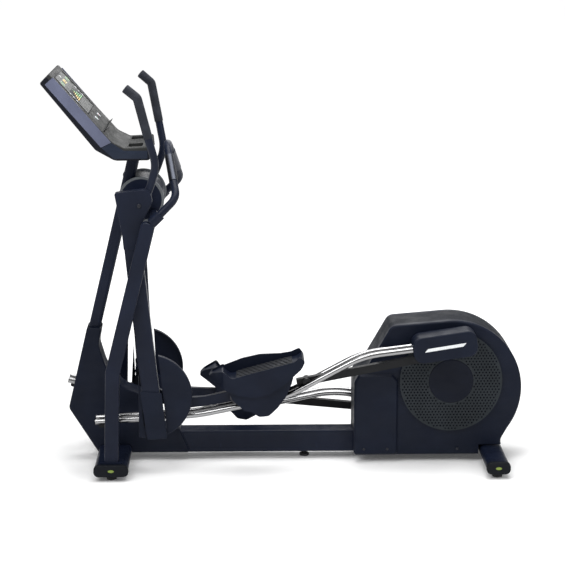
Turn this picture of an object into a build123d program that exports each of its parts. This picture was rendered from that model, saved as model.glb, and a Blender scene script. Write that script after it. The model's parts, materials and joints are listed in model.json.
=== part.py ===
from build123d import *
import math
import os

# Rear-drive elliptical trainer.
# X runs from the console (front, -X) to the drive housing (rear, +X), Z is up and
# Y = 0 is the mid plane. The user stands on the pedals facing -X, so the left side is -Y.
# The origin is on the floor, midway along the overall length. All sizes are millimetres.

LEFT = -1
RIGHT = 1

# ---------------------------------------------------------------- running clearances
SHAFT_CLEARANCE = 0.05
SLIDE_CLEARANCE = 1.0
ROLLER_GAP = 0.5
SIDE_GAP = 2.0
PART_GAP = 0.3

# ---------------------------------------------------------------- lateral stations, |Y|
RAIL_INNER_Y = 155.0
RAIL_SPACING = 65.0
RAIL_TUBE_R = 13.0
RAIL_TUBE_WALL = 2.5
ARM_GAP = 7.0
ARM_DEPTH = 45.0
UPRIGHT_GAP = 12.0
UPRIGHT_DEPTH = 50.0
HOUSING_HALF = 117.0

RAIL_OUTER_Y = RAIL_INNER_Y + RAIL_SPACING
RAIL_MID_Y = RAIL_INNER_Y + RAIL_SPACING / 2
ARM_IN = RAIL_OUTER_Y + RAIL_TUBE_R + ARM_GAP
ARM_OUT = ARM_IN + ARM_DEPTH
UPRIGHT_IN = ARM_OUT + UPRIGHT_GAP
UPRIGHT_OUT = UPRIGHT_IN + UPRIGHT_DEPTH

# ---------------------------------------------------------------- floor frame
FRONT_X = -740.0
FRONT_WIDTH = 146.0
FRONT_HEIGHT = 48.0
REAR_X = 948.0
REAR_WIDTH = 100.0
REAR_HEIGHT = 50.0
STABILISER_Z = 24.0
STABILISER_HALF = 356.0
CAP_LENGTH = 20.0
CAP_LIP = 2.5
TUBE_WALL = 3.0
SPINE_WIDTH = 100.0
SPINE_HEIGHT = 100.0
SPINE_Z = 31.0
FOOT_PAD_R = 22.0
FOOT_PAD_H = 12.0
FOOT_STUD_R = 6.0
FOOT_INSET_Y = 325.0
CENTRE_FOOT_X = 112.0

# ---------------------------------------------------------------- uprights, mast and pivot
UPRIGHT_WIDTH = 60.0
UPRIGHT_KNEE = (-728.0, 472.0)
UPRIGHT_TOP = (-562.0, 1135.0)
MAST_WIDTH = 52.0
MAST_DEPTH = 74.0
MAST_TOP = (-634.0, 1386.0)
MAST_BEND = (-896.0, 317.0)
MAST_FOOT_X = -770.0
SHROUD_HALF = 62.0
SHROUD_WALL = 3.0
SHROUD_TOP = 612.0
PIVOT = (-603.0, 1200.0)
PIVOT_DRUM_R = 92.0
PIVOT_RIM_R = 100.0
PIVOT_DRUM_HALF = 123.0
PIVOT_RIM_THICK = 12.0
PIVOT_SHAFT_R = 15.0
BRACE_R = 17.0
BRACE_POINT = (-548.0, 1140.0)

# ---------------------------------------------------------------- crank and drive
HUB = (760.0, 378.0)
CRANK_RADIUS = 206.0
CRANK_ANGLE = 16.5
AXLE_R = 15.0
CRANK_ARM_THICK = 9.0
RING_R = 228.0
RING_THICK = 3.0
HUB_CAP_R = 99.0
HUB_CAP_THICK = 5.0
PIN_BOSS_R = 30.0
PULLEY_R = 175.0
PULLEY_THICK = 24.0
FLYWHEEL = (470.0, 268.0)
FLYWHEEL_R = 108.0
FLYWHEEL_THICK = 26.0
FLYWHEEL_PULLEY_R = 28.0
BELT_THICK = 4.0
BELT_WIDTH = 18.0
POST_THICK = 10.0
BEARING_R = 34.0

# ---------------------------------------------------------------- rails (left side as posed)
RAIL_START = (-814.0, 227.0)
RAIL_BEND_1 = (-360.0, 257.0)
RAIL_BEND_2 = (24.0, 335.0)
RAIL_BEND_3 = (360.0, 516.0)
RAIL_END = (735.0, 564.5)
RAIL_BEND_RADII = (700.0, 500.0, 420.0)
BEAM_FRONT = (72.0, 392.0)
BEAM_REAR = (730.0, 521.0)
BEAM_WIDTH = 30.0
BEAM_HEIGHT = 34.0
COVER_LENGTH = 284.0
COVER_HEIGHT = 116.0
COVER_TILT = 8.5
COVER_CENTRE = (720.0, 561.0)
COVER_THICK = 106.0
COVER_WALL = 3.5

# ---------------------------------------------------------------- swing arm and pedal arm
ARM_SPREAD = 3.7
HEAD_LOW = 1012.0
HEAD_PROUD = 2.0
LINK_PIVOT = (-575.0, 352.0)
LINK_PIN_R = 10.0
LINK_THICK = 24.0
LINK_EYE_R = 30.0
ROLLER_X = -180.0
ROLLER_R = 33.0
ROLLER_WIDTH = 22.0
ROLLER_AXLE_R = 9.0
GUIDE_LENGTH = 84.0
GUIDE_HEIGHT = 58.0
GUIDE_EAR_THICK = 10.0
GUIDE_ROLLER_R = 16.0
DISC_R = 188.0
DISC_THICK = 26.0
BOX_THICK = 5.0
GRIP_R = 19.5
HANDLE_R = 17.0

# ---------------------------------------------------------------- pedal (left side as posed)
PEDAL_IN = 133.0
PEDAL_OUT = 283.0
PEDAL_WALL = 4.0
TREAD_THICK = 4.0
RIB_HEIGHT = 2.5
RIB_WIDTH = 9.0
RIB_COUNT = 12
RIB_SKEW = 20.0

# ---------------------------------------------------------------- console
CONSOLE_HALF = 212.0
CONSOLE_SKIN = 5.0
KEY_R = 11.0
KEY_TRAVEL = 2.0


# ================================================================ helpers
def slab(face, side, near, far):
    """A face drawn in X, Z made into a slab between |Y| = near and |Y| = far."""
    low, high = sorted((side * near, side * far))
    return extrude(Plane.XZ.offset(-high) * face, high - low)


def centred(face, half):
    """A face drawn in X, Z made into a slab from Y = -half to Y = +half."""
    return extrude(Plane.XZ.offset(-half) * face, 2 * half)


def outline(points, radii):
    """A closed face through the points, each corner rounded by its own radius."""
    return make_face(FilletPolyline(*points, radius=radii, close=True))


def disc(centre, radius):
    """A round face at a point of the X, Z plane."""
    return Pos(centre[0], centre[1]) * Circle(radius)


def bar(start, end, width):
    """A round-ended strip of the given width between two points."""
    length = math.dist(start, end)
    middle = ((start[0] + end[0]) / 2, (start[1] + end[1]) / 2)
    tilt = math.degrees(math.atan2(end[1] - start[1], end[0] - start[0]))
    return Pos(*middle) * Rot(0, 0, tilt) * SlotCenterToCenter(length, width)


def strip(start, end, width):
    """A square-ended strip of the given width between two points."""
    length = math.dist(start, end)
    middle = ((start[0] + end[0]) / 2, (start[1] + end[1]) / 2)
    tilt = math.degrees(math.atan2(end[1] - start[1], end[0] - start[0]))
    return Pos(*middle) * Rot(0, 0, tilt) * Rectangle(length, width)


def tube(points, radii, radius, wall=0.0):
    """A round tube, or a solid rod with no wall, along straight runs and arcs."""
    if radii:
        path = FilletPolyline(*points, radius=radii)
    else:
        path = Polyline(*points)
    end = Plane(origin=path @ 0, z_dir=path % 0)
    section = end * Circle(radius)
    if wall:
        section -= end * Circle(radius - wall)
    return sweep(section, path=path)


def turned(shape, centre, degrees):
    """Turn a shape in the X, Z plane about a point, anticlockwise seen from the left."""
    out = Pos(-centre[0], 0, -centre[1])
    back = Pos(centre[0], 0, centre[1])
    return back * Rot(0, -degrees, 0) * out * shape


def turned_point(point, centre, degrees):
    """The same turn for one point."""
    angle = math.radians(degrees)
    dx = point[0] - centre[0]
    dz = point[1] - centre[1]
    return (
        centre[0] + dx * math.cos(angle) - dz * math.sin(angle),
        centre[1] + dx * math.sin(angle) + dz * math.cos(angle),
    )


def slope(start, end):
    """The angle of a line in degrees."""
    return math.degrees(math.atan2(end[1] - start[1], end[0] - start[0]))


def offset_from(point, start, end):
    """How far a point stands above the line from start to end."""
    angle = math.radians(slope(start, end))
    return (point[1] - start[1]) * math.cos(angle) - (point[0] - start[0]) * math.sin(angle)


def moved(point, along, above, degrees):
    """A point shifted along and above a direction."""
    angle = math.radians(degrees)
    return (
        point[0] + along * math.cos(angle) - above * math.sin(angle),
        point[1] + along * math.sin(angle) + above * math.cos(angle),
    )


# ================================================================ linkage geometry
def crank_pin(side):
    """The crank pin centre: the left crank is up, the right one is down."""
    angle = math.radians(CRANK_ANGLE)
    reach = -side * CRANK_RADIUS
    return (HUB[0] + reach * math.sin(angle), HUB[1] + reach * math.cos(angle))


def arm_turn(side):
    """How far the swing arm is turned from the left arm's pose."""
    return -ARM_SPREAD if side == RIGHT else 0.0


def link_pivot(side):
    """The joint at the foot of the swing arm."""
    return turned_point(LINK_PIVOT, PIVOT, arm_turn(side))


def rail_turn(side):
    """The turn that keeps the rail on its crank pin and in its guide on the swing arm."""
    if side == LEFT:
        return 0.0
    pin_height = offset_from(crank_pin(LEFT), RAIL_START, RAIL_BEND_1)
    guide_height = offset_from(link_pivot(LEFT), RAIL_START, RAIL_BEND_1)
    pin = crank_pin(RIGHT)
    guide = link_pivot(RIGHT)
    span = math.dist(pin, guide)
    line = slope(guide, pin)
    tilt = math.degrees(math.asin((pin_height - guide_height) / span))
    return line - tilt - slope(RAIL_START, RAIL_BEND_1)


def rail_point(point, side):
    """A point of the left rail carried to where the right rail lies."""
    if side == LEFT:
        return point
    shift = (crank_pin(RIGHT)[0] - crank_pin(LEFT)[0], crank_pin(RIGHT)[1] - crank_pin(LEFT)[1])
    turned_on_pin = turned_point(point, crank_pin(LEFT), rail_turn(RIGHT))
    return (turned_on_pin[0] + shift[0], turned_on_pin[1] + shift[1])


def on_rail(shape, side):
    """A solid of the left rail carried to where the right rail lies."""
    if side == LEFT:
        return shape
    shift = (crank_pin(RIGHT)[0] - crank_pin(LEFT)[0], crank_pin(RIGHT)[1] - crank_pin(LEFT)[1])
    return Pos(shift[0], 0, shift[1]) * turned(shape, crank_pin(LEFT), rail_turn(RIGHT))


def roller_centre(side):
    """The pedal roller's axle: on the rail, at the pedal arm's length from its pivot."""
    rise = ROLLER_R + RAIL_TUBE_R + ROLLER_GAP
    angle = slope(RAIL_BEND_1, RAIL_BEND_2)
    on_line = (ROLLER_X, RAIL_BEND_1[1] + (ROLLER_X - RAIL_BEND_1[0]) * math.tan(math.radians(angle)))
    left = moved(on_line, 0, rise, angle)
    if side == LEFT:
        return left
    reach = math.dist(left, link_pivot(LEFT))
    start = rail_point(RAIL_BEND_1, RIGHT)
    end = rail_point(RAIL_BEND_2, RIGHT)
    pivot = link_pivot(RIGHT)
    height = offset_from(pivot, start, end) - rise
    along = math.sqrt(reach**2 - height**2)
    return moved(pivot, along, -height, slope(start, end))


def pedal_turn(side):
    """How far the pedal arm is turned from the left one's pose."""
    left = slope(link_pivot(LEFT), roller_centre(LEFT))
    return slope(link_pivot(side), roller_centre(side)) - left


def on_arm(shape, side):
    """A solid of the left swing arm's pose carried to this side's pose."""
    return turned(shape, PIVOT, arm_turn(side))


def on_pedal(shape, side):
    """A solid of the left pedal arm's pose carried to this side's pose."""
    left = link_pivot(LEFT)
    here = link_pivot(side)
    return Pos(here[0] - left[0], 0, here[1] - left[1]) * turned(shape, left, pedal_turn(side))


# ================================================================ floor frame
def stabiliser(centre_x, width, height):
    """A cross tube with rounded long edges."""
    face = Pos(centre_x, STABILISER_Z + height / 2) * RectangleRounded(width, height, height * 0.42)
    inner_width = width - 2 * TUBE_WALL
    inner_height = height - 2 * TUBE_WALL
    hollow = Pos(centre_x, STABILISER_Z + height / 2) * RectangleRounded(
        inner_width, inner_height, inner_height * 0.42
    )
    body = centred(face, STABILISER_HALF) - centred(hollow, STABILISER_HALF)
    for side in (LEFT, RIGHT):
        body -= Pos(centre_x, side * FOOT_INSET_Y, STABILISER_Z) * Cylinder(
            FOOT_STUD_R + SHAFT_CLEARANCE, 3 * TUBE_WALL
        )
    return body


def stabiliser_cap(centre_x, width, height, side):
    """A moulded end cap with a lip round the tube and a shallow oval badge recess."""
    face = Pos(centre_x, STABILISER_Z + height / 2) * RectangleRounded(
        width + 2 * CAP_LIP, height + 2 * CAP_LIP, height * 0.45
    )
    cap = slab(face, side, STABILISER_HALF, STABILISER_HALF + CAP_LENGTH)
    outer = cap.faces().sort_by(Axis.Y)[-1 if side == RIGHT else 0]
    cap = fillet(outer.edges(), 5)
    badge = Pos(centre_x, STABILISER_Z + height / 2) * Ellipse(15, 8)
    return cap - slab(badge, side, STABILISER_HALF + CAP_LENGTH - 1.5, STABILISER_HALF + CAP_LENGTH + 5)


def stabiliser_caps():
    """The four end caps."""
    caps = []
    for side in (LEFT, RIGHT):
        caps.append(stabiliser_cap(FRONT_X, FRONT_WIDTH, FRONT_HEIGHT, side))
        caps.append(stabiliser_cap(REAR_X, REAR_WIDTH, REAR_HEIGHT, side))
    return Compound(children=caps)


def base_frame():
    """The spine tube between the stabilisers with the two crank bearing posts on it."""
    start = FRONT_X + FRONT_WIDTH / 2
    end = REAR_X - REAR_WIDTH / 2
    middle = Pos((start + end) / 2, 0, SPINE_Z + SPINE_HEIGHT / 2)
    tube_out = middle * Box(end - start, SPINE_WIDTH, SPINE_HEIGHT)
    tube_out = fillet(tube_out.edges().filter_by(Axis.X), 8)
    tube_in = middle * Box(end - start, SPINE_WIDTH - 2 * TUBE_WALL, SPINE_HEIGHT - 2 * TUBE_WALL)
    frame = tube_out - tube_in
    top = SPINE_Z + SPINE_HEIGHT
    post = outline(
        [
            (HUB[0] - 110, top),
            (HUB[0] + 110, top),
            (HUB[0] + BEARING_R, HUB[1]),
            (HUB[0], HUB[1] + BEARING_R),
            (HUB[0] - BEARING_R, HUB[1]),
        ],
        [0, 0, 12, 12, 12],
    )
    post_in = SPINE_WIDTH / 2 - POST_THICK - 4
    for side in (LEFT, RIGHT):
        frame += slab(post, side, post_in, post_in + POST_THICK)
        frame += slab(disc(HUB, BEARING_R), side, post_in, post_in + 2.4 * POST_THICK)
    wheel_post = outline(
        [
            (FLYWHEEL[0] - 60, top),
            (FLYWHEEL[0] + 60, top),
            (FLYWHEEL[0] + 20, FLYWHEEL[1] + 20),
            (FLYWHEEL[0] - 20, FLYWHEEL[1] + 20),
        ],
        [0, 0, 15, 15],
    )
    frame += slab(wheel_post, LEFT, post_in, post_in + POST_THICK)
    frame += slab(wheel_post, RIGHT, post_in, post_in + POST_THICK)
    frame -= centred(disc(HUB, AXLE_R + SHAFT_CLEARANCE), SPINE_WIDTH)
    frame -= centred(disc(FLYWHEEL, AXLE_R / 2 + SHAFT_CLEARANCE), SPINE_WIDTH)
    stud = Pos(CENTRE_FOOT_X, 0, SPINE_Z) * Cylinder(FOOT_STUD_R + SHAFT_CLEARANCE, 3 * TUBE_WALL)
    return frame - stud


def levelling_foot(x, y, seat_z):
    """A rubber pad on a threaded stud that screws up into the frame."""
    pad = Pos(x, y, FOOT_PAD_H / 2) * Cylinder(FOOT_PAD_R, FOOT_PAD_H)
    pad = fillet(pad.edges().filter_by(GeomType.CIRCLE), 2.5)
    nut_top = seat_z - 1.0
    nut = Pos(x, y, FOOT_PAD_H) * extrude(RegularPolygon(11, 6), nut_top - FOOT_PAD_H)
    stud = Pos(x, y, FOOT_PAD_H) * extrude(Circle(FOOT_STUD_R), seat_z + 2 * TUBE_WALL - FOOT_PAD_H + 14)
    return pad + nut + stud


# ================================================================ uprights, mast, pivot
def upright(side):
    """The outer post: plumb from the stabiliser to a knee, then leaning to the pivot."""
    foot = (UPRIGHT_KNEE[0] - 11, STABILISER_Z + FRONT_HEIGHT)
    half = UPRIGHT_WIDTH / 2
    knee = UPRIGHT_KNEE
    top = UPRIGHT_TOP
    angle = math.radians(slope(knee, top) - 90)
    across = (half * math.cos(angle), half * math.sin(angle))
    face = outline(
        [
            (foot[0] - half, foot[1]),
            (foot[0] + half, foot[1]),
            (knee[0] + half, knee[1] - 10),
            (top[0] + across[0], top[1] + across[1]),
            (top[0] - across[0], top[1] - across[1]),
            (knee[0] - half, knee[1] + 10),
        ],
        [0, 0, 60, 22, 22, 60],
    )
    post = slab(face, side, UPRIGHT_IN, UPRIGHT_OUT)
    edge_side = post.faces().sort_by(Axis.Y)
    post = fillet(edge_side[0].edges() + edge_side[-1].edges(), 7)
    wall = TUBE_WALL + 1
    hollow = slab(offset(face, -wall), side, UPRIGHT_IN + wall, UPRIGHT_OUT - wall)
    flange_face = Pos(foot[0], foot[1] + 4) * Rectangle(UPRIGHT_WIDTH + 36, 8)
    flange = slab(flange_face, side, UPRIGHT_IN - 14, UPRIGHT_OUT + 4)
    clamp = tube(
        [(top[0] + 12, side * bar_y(0), top[1] - 4), (top[0] + 50, side * bar_y(0), top[1] + 33)],
        [],
        FIXED_BAR_R + 6,
    )
    brace_start = (BRACE_POINT[0], side * PIVOT_DRUM_HALF, BRACE_POINT[1])
    brace_end = (BRACE_POINT[0], side * (UPRIGHT_IN + 2), BRACE_POINT[1])
    brace = tube([brace_start, brace_end], [], BRACE_R)
    body = (post - hollow) + flange + clamp + brace
    return body - fixed_bar(side, FIXED_BAR_R)


FIXED_BAR_R = 17.0
FIXED_BAR_ELBOW_Y = 222.0
FIXED_BAR_TOP_Y = 45.0
GRIP_SKIN = 2.5


def bar_y(share):
    """The fixed bar's |Y| from the upright's middle (0) towards its sloping run (1)."""
    low = (UPRIGHT_IN + UPRIGHT_OUT) / 2
    return low + (FIXED_BAR_ELBOW_Y - low) * share


def fixed_bar_points(side):
    """The fixed handlebar's foot in the clamp, its elbow and its upper bend on one side."""
    top = UPRIGHT_TOP
    return [
        (top[0] + 26, side * bar_y(0), top[1] + 10),
        (top[0] + 118, side * bar_y(0.45), top[1] + 98),
        (top[0] + 72, side * FIXED_BAR_TOP_Y, top[1] + 291),
    ]


def fixed_bar(side, radius):
    """One half of the fixed handlebar, up to the mid plane."""
    points = fixed_bar_points(side)
    end = points[2]
    return tube([*points, (end[0], 0, end[2])], [70, 100], radius)


def fixed_handlebars():
    """The fixed handlebar: one bent tube that closes in a bow over the mid plane."""
    left = fixed_bar_points(LEFT)
    right = fixed_bar_points(RIGHT)
    return tube([*left, *reversed(right)], [70, 100, 100, 70], FIXED_BAR_R)


def pulse_grips():
    """The contact grips sleeved on the two sloping runs of the fixed handlebar."""
    grips = []
    for side in (LEFT, RIGHT):
        low = Vector(*fixed_bar_points(side)[1])
        run = Vector(*fixed_bar_points(side)[2]) - low
        grips.append(tube([low + run * 0.30, low + run * 0.78], [], FIXED_BAR_R + GRIP_SKIN, GRIP_SKIN))
    return Compound(children=grips)


def mast_point(z):
    """The middle of the mast's upper run at a height."""
    share = (z - MAST_BEND[1]) / (MAST_TOP[1] - MAST_BEND[1])
    return MAST_BEND[0] + share * (MAST_TOP[0] - MAST_BEND[0])


def mast():
    """The flat-oval console post, bent back at its foot to stand on the stabiliser."""
    half = MAST_WIDTH / 2
    foot = STABILISER_Z + FRONT_HEIGHT
    run = slope(MAST_BEND, MAST_TOP)
    face = outline(
        [
            (MAST_FOOT_X - half, foot),
            (MAST_FOOT_X + half, foot),
            moved(MAST_BEND, 0, -half, run),
            moved(MAST_TOP, 0, -half, run),
            moved(MAST_TOP, 0, half, run),
            moved(MAST_BEND, 0, half, run),
        ],
        [0, 0, 70, 0, 0, 90],
    )
    post = centred(face, MAST_DEPTH / 2)
    sides = post.faces().sort_by(Axis.Y)
    post = fillet(sides[0].edges() + sides[-1].edges(), 16)
    post -= centred(offset(face, -2 * TUBE_WALL), MAST_DEPTH / 2 - 2 * TUBE_WALL)
    return post - centred(disc(PIVOT, PIVOT_DRUM_R), PIVOT_DRUM_HALF)


def shroud_face(inset):
    """The front cover's side outline, drawn in by an inset."""
    points = [
        (mast_point(SHROUD_TOP) - MAST_WIDTH / 2 - 7, SHROUD_TOP),
        (mast_point(SHROUD_TOP) + MAST_WIDTH / 2 + 6, SHROUD_TOP),
        (-806, 534),
        (-776, 432),
        (-700, 340),
        (-600, 300),
        (-560, 150),
        (-452, 148),
        (-404, 34),
        (-814, 34),
        (-945, 245),
    ]
    face = outline(points, [8, 8, 60, 120, 90, 30, 40, 6, 8, 12, 34])
    return offset(face, -inset) if inset else face


def shroud(side):
    """One half of the moulded cover round the mast foot and the spine's front end."""
    shell = slab(shroud_face(0), side, PART_GAP / 2, SHROUD_HALF)
    rim = shell.faces().sort_by(Axis.Y)[-1 if side == RIGHT else 0]
    shell = fillet(rim.edges(), 7)
    shell -= slab(shroud_face(SHROUD_WALL), side, 0, SHROUD_HALF - SHROUD_WALL)
    low, high = SHROUD_TOP - 40, SHROUD_TOP + 90
    collar = strip((mast_point(low), low), (mast_point(high), high), MAST_WIDTH + 2 * SIDE_GAP)
    shell -= slab(collar, side, 0, MAST_DEPTH / 2 + SIDE_GAP)
    spine = Pos(-540, SPINE_Z) * Rectangle(400, 2 * (SPINE_HEIGHT + SIDE_GAP))
    shell -= slab(spine, side, 0, SPINE_WIDTH / 2 + PART_GAP)
    stabiliser_room = Pos(FRONT_X, STABILISER_Z) * RectangleRounded(
        FRONT_WIDTH + 2 * PART_GAP, 2 * (FRONT_HEIGHT + PART_GAP), FRONT_HEIGHT * 0.4
    )
    shell -= slab(stabiliser_room, side, 0, 300)
    return shell


def pivot_housing():
    """The drum on the mast that carries the arms' shaft, with a rim round each end."""
    drum = centred(disc(PIVOT, PIVOT_DRUM_R), PIVOT_DRUM_HALF)
    hollow = centred(disc(PIVOT, PIVOT_DRUM_R - 6), PIVOT_DRUM_HALF - 14)
    tube_in = centred(disc(PIVOT, PIVOT_SHAFT_R + 10), PIVOT_DRUM_HALF - 14)
    drum = drum - (hollow - tube_in) - centred(disc(PIVOT, PIVOT_SHAFT_R), PIVOT_DRUM_HALF)
    pieces = [drum]
    for side in (LEFT, RIGHT):
        rim_in = PIVOT_DRUM_HALF - PIVOT_RIM_THICK
        rim = slab(disc(PIVOT, PIVOT_RIM_R), side, rim_in, PIVOT_DRUM_HALF)
        rim = fillet(rim.edges().filter_by(GeomType.CIRCLE), 1.5)
        pieces.append(rim - slab(disc(PIVOT, PIVOT_DRUM_R), side, 0, PIVOT_DRUM_HALF + 5))
    return Compound(children=pieces)


def pivot_axle():
    """The fixed shaft that both swing arms turn on."""
    return centred(disc(PIVOT, PIVOT_SHAFT_R), ARM_OUT - 12)


# ================================================================ swing arm
def arm(side):
    """The swing arm: a wide head plate, a flat tube and the foot with the joint pin."""
    face = outline(
        [
            (-706, 1252),
            (-628, 1262),
            (-560, 1268),
            (-548, 1216),
            (-600, 1110),
            (-590, 953),
            (-541, 488),
            (-508, 180),
            (-578, 172),
            (-618, 488),
            (-665, 953),
            (-676, 1080),
        ],
        [6, 0.5, 14, 30, 90, 200, 200, 6, 6, 200, 200, 60],
    )
    body = slab(face, side, ARM_IN, ARM_OUT)
    ends = body.faces().sort_by(Axis.Y)
    body = fillet(ends[0].edges() + ends[-1].edges(), 5)
    head = offset(face & (Pos(LINK_PIVOT[0], HEAD_LOW + 300) * Rectangle(600, 600)), HEAD_PROUD)
    sheath = slab(head, side, ARM_IN - HEAD_PROUD, ARM_OUT + HEAD_PROUD)
    ends = sheath.faces().sort_by(Axis.Y)
    body += fillet(ends[0].edges() + ends[-1].edges(), HEAD_PROUD)
    wall = TUBE_WALL + 1
    body -= slab(offset(face, -wall), side, ARM_IN + wall, ARM_OUT - wall)
    hub_in = PIVOT_DRUM_HALF + SIDE_GAP
    body += slab(disc(PIVOT, 38), side, hub_in, ARM_OUT - 4)
    body -= slab(disc(PIVOT, PIVOT_SHAFT_R + SHAFT_CLEARANCE), side, 0, ARM_OUT - 12 + SIDE_GAP)
    pad = disc(LINK_PIVOT, 32)
    body += slab(pad, side, ARM_IN, ARM_OUT - 4)
    pin_end = RAIL_INNER_Y - RAIL_TUBE_R - 2
    body += slab(disc(LINK_PIVOT, LINK_PIN_R), side, pin_end, ARM_OUT - 6)
    body -= handle_run(side, HANDLE_R)
    return on_arm(body, side)


def handle_points(side):
    """The moving handle's route from the arm's head to its inward tip."""
    return [
        (-575, side * (ARM_IN + ARM_DEPTH / 2), 1228),
        (-552, side * (ARM_IN + ARM_DEPTH / 2 + 4), 1290),
        (-528, side * (ARM_IN + 46), 1372),
        (-556, side * (ARM_IN + 66), 1480),
        (-602, side * (ARM_IN + 72), 1662),
        (-650, side * (ARM_IN + 64), 1700),
    ]


def handle_run(side, radius):
    """The handle tube before it is posed."""
    return tube(handle_points(side), [110, 150, 300, 26], radius)


def arm_handle(side):
    """The moving handlebar, seated in the arm's head."""
    return on_arm(handle_run(side, HANDLE_R), side)


def handle_grip(side):
    """The rubber sleeve on the upper run of the moving handlebar."""
    points = [Vector(*point) for point in handle_points(side)]
    low = points[3] + (points[4] - points[3]) * 0.06
    tip = points[5]
    beyond = tip + (tip - points[4]).normalized() * 4
    sleeve = tube([low, points[4], tip], [26], GRIP_R, GRIP_R - HANDLE_R - PART_GAP)
    cap = tube([tip, beyond], [], GRIP_R)
    return on_arm(sleeve + fillet(cap.edges().filter_by(GeomType.CIRCLE).sort_by(Axis.X)[0], 3), side)


def arm_cover(side):
    """The half-round guard over the foot joint and the cover plate on the arm's foot."""
    flat_x = LINK_PIVOT[0] - 46
    cut = Pos(flat_x - DISC_R, LINK_PIVOT[1]) * Rectangle(2 * DISC_R, 4 * DISC_R)
    half_round = disc(LINK_PIVOT, DISC_R) - cut
    inner = disc(LINK_PIVOT, DISC_R - 3) - Pos(flat_x - DISC_R + 3, LINK_PIVOT[1]) * Rectangle(
        2 * DISC_R, 4 * DISC_R
    )
    in_y = ARM_IN + 1
    guard = slab(half_round, side, in_y, in_y + DISC_THICK)
    rim = guard.faces().sort_by(Axis.Y)[-1 if side == RIGHT else 0]
    guard = fillet(rim.edges(), 5)
    guard -= slab(inner, side, in_y, in_y + DISC_THICK - 3)
    slot_face = outline(
        [(-632, 560), (-535, 560), (-494, 166), (-592, 158)],
        [1, 1, 1, 1],
    )
    guard -= slab(slot_face, side, 0, 400)
    plate_face = outline(
        [(-613, 384), (-519, 376), (-497, 170), (-584, 164)],
        [8, 8, 8, 8],
    )
    plate = slab(plate_face, side, ARM_OUT + PART_GAP, ARM_OUT + BOX_THICK)
    outer = plate.faces().sort_by(Axis.Y)[-1 if side == RIGHT else 0]
    plate = fillet(outer.edges(), 2)
    screws = []
    for centre in ((-588, 352), (-563, 196)):
        screws.append(slab(disc(centre, 5), side, ARM_OUT + BOX_THICK, ARM_OUT + BOX_THICK + 2))
        plate -= slab(disc(centre, 3), side, ARM_OUT, ARM_OUT + 2 * BOX_THICK)
    pieces = [on_arm(piece, side) for piece in (guard, plate, *screws)]
    return Compound(children=pieces)


# ================================================================ rail guide
def guide_foot():
    """The middle of the rail where the left guide holds it."""
    height = offset_from(link_pivot(LEFT), RAIL_START, RAIL_BEND_1)
    return moved(link_pivot(LEFT), 0, -height, slope(RAIL_START, RAIL_BEND_1))


def guide_pose(shape, side):
    """A solid of the left guide carried to where the right guide hangs."""
    left = link_pivot(LEFT)
    here = link_pivot(side)
    return Pos(here[0] - left[0], 0, here[1] - left[1]) * turned(shape, left, rail_turn(side))


def guide(side):
    """The hanger on the arm's joint pin whose block the twin rails slide through."""
    foot = guide_foot()
    angle = slope(RAIL_START, RAIL_BEND_1)
    block_face = Pos(*foot) * Rot(0, 0, angle) * RectangleRounded(GUIDE_LENGTH, GUIDE_HEIGHT, 8)
    block_in = RAIL_INNER_Y - RAIL_TUBE_R - 4
    block_out = RAIL_OUTER_Y + RAIL_TUBE_R + 4
    body = slab(block_face, side, block_in, block_out)
    ear_face = bar(link_pivot(LEFT), moved(foot, 0, GUIDE_HEIGHT / 2, angle), 46)
    ear_span = LINK_THICK / 2 + 4
    for start in (RAIL_MID_Y - ear_span - GUIDE_EAR_THICK, RAIL_MID_Y + ear_span):
        body += slab(ear_face, side, start, start + GUIDE_EAR_THICK)
    low = moved(foot, -GUIDE_LENGTH, 0, angle)
    high = moved(foot, GUIDE_LENGTH, 0, angle)
    for y in (RAIL_INNER_Y, RAIL_OUTER_Y):
        body -= tube(
            [(low[0], side * y, low[1]), (high[0], side * y, high[1])],
            [],
            RAIL_TUBE_R + SLIDE_CLEARANCE,
        )
    body -= slab(disc(link_pivot(LEFT), LINK_PIN_R + SHAFT_CLEARANCE), side, 0, 300)
    roller = guide_roller_centre()
    body -= slab(disc(roller, GUIDE_ROLLER_R + SIDE_GAP), side, block_in + 8, block_out - 8)
    body -= slab(disc(roller, 5 + SHAFT_CLEARANCE), side, 0, 300)
    return guide_pose(body, side)


def guide_roller_centre():
    """The axle of the roller under the left rail."""
    rise = GUIDE_ROLLER_R + RAIL_TUBE_R + ROLLER_GAP
    return moved(guide_foot(), 0, -rise, slope(RAIL_START, RAIL_BEND_1))


def guide_roller(side):
    """The nylon roller that carries both tubes, with its pin."""
    centre = guide_roller_centre()
    block_in = RAIL_INNER_Y - RAIL_TUBE_R - 4
    block_out = RAIL_OUTER_Y + RAIL_TUBE_R + 4
    barrel = slab(disc(centre, GUIDE_ROLLER_R), side, block_in + 9, block_out - 9)
    pin = slab(disc(centre, 5), side, block_in, block_out)
    return guide_pose(barrel + pin, side)


# ================================================================ rails
def rail_route(y):
    """The rail's centre line at a |Y| station."""
    points = (RAIL_START, RAIL_BEND_1, RAIL_BEND_2, RAIL_BEND_3, RAIL_END)
    return [(x, y, z) for x, z in points]


def rail_tubes(side):
    """The two chromed tubes with their front plugs."""
    pieces = []
    for y in (RAIL_INNER_Y, RAIL_OUTER_Y):
        pieces.append(tube(rail_route(side * y), RAIL_BEND_RADII, RAIL_TUBE_R, RAIL_TUBE_WALL))
    return Compound(children=[on_rail(piece, side) for piece in pieces])


def rail_solid(side, y):
    """One tube filled in, for cutting what it passes through."""
    return tube(rail_route(side * y), RAIL_BEND_RADII, RAIL_TUBE_R)


def beam_profile():
    """The beam's side shape: a straight run that widens to the crank pin."""
    return strip(BEAM_FRONT, BEAM_REAR, BEAM_HEIGHT) + bar(BEAM_REAR, crank_pin(LEFT), 46)


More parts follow.
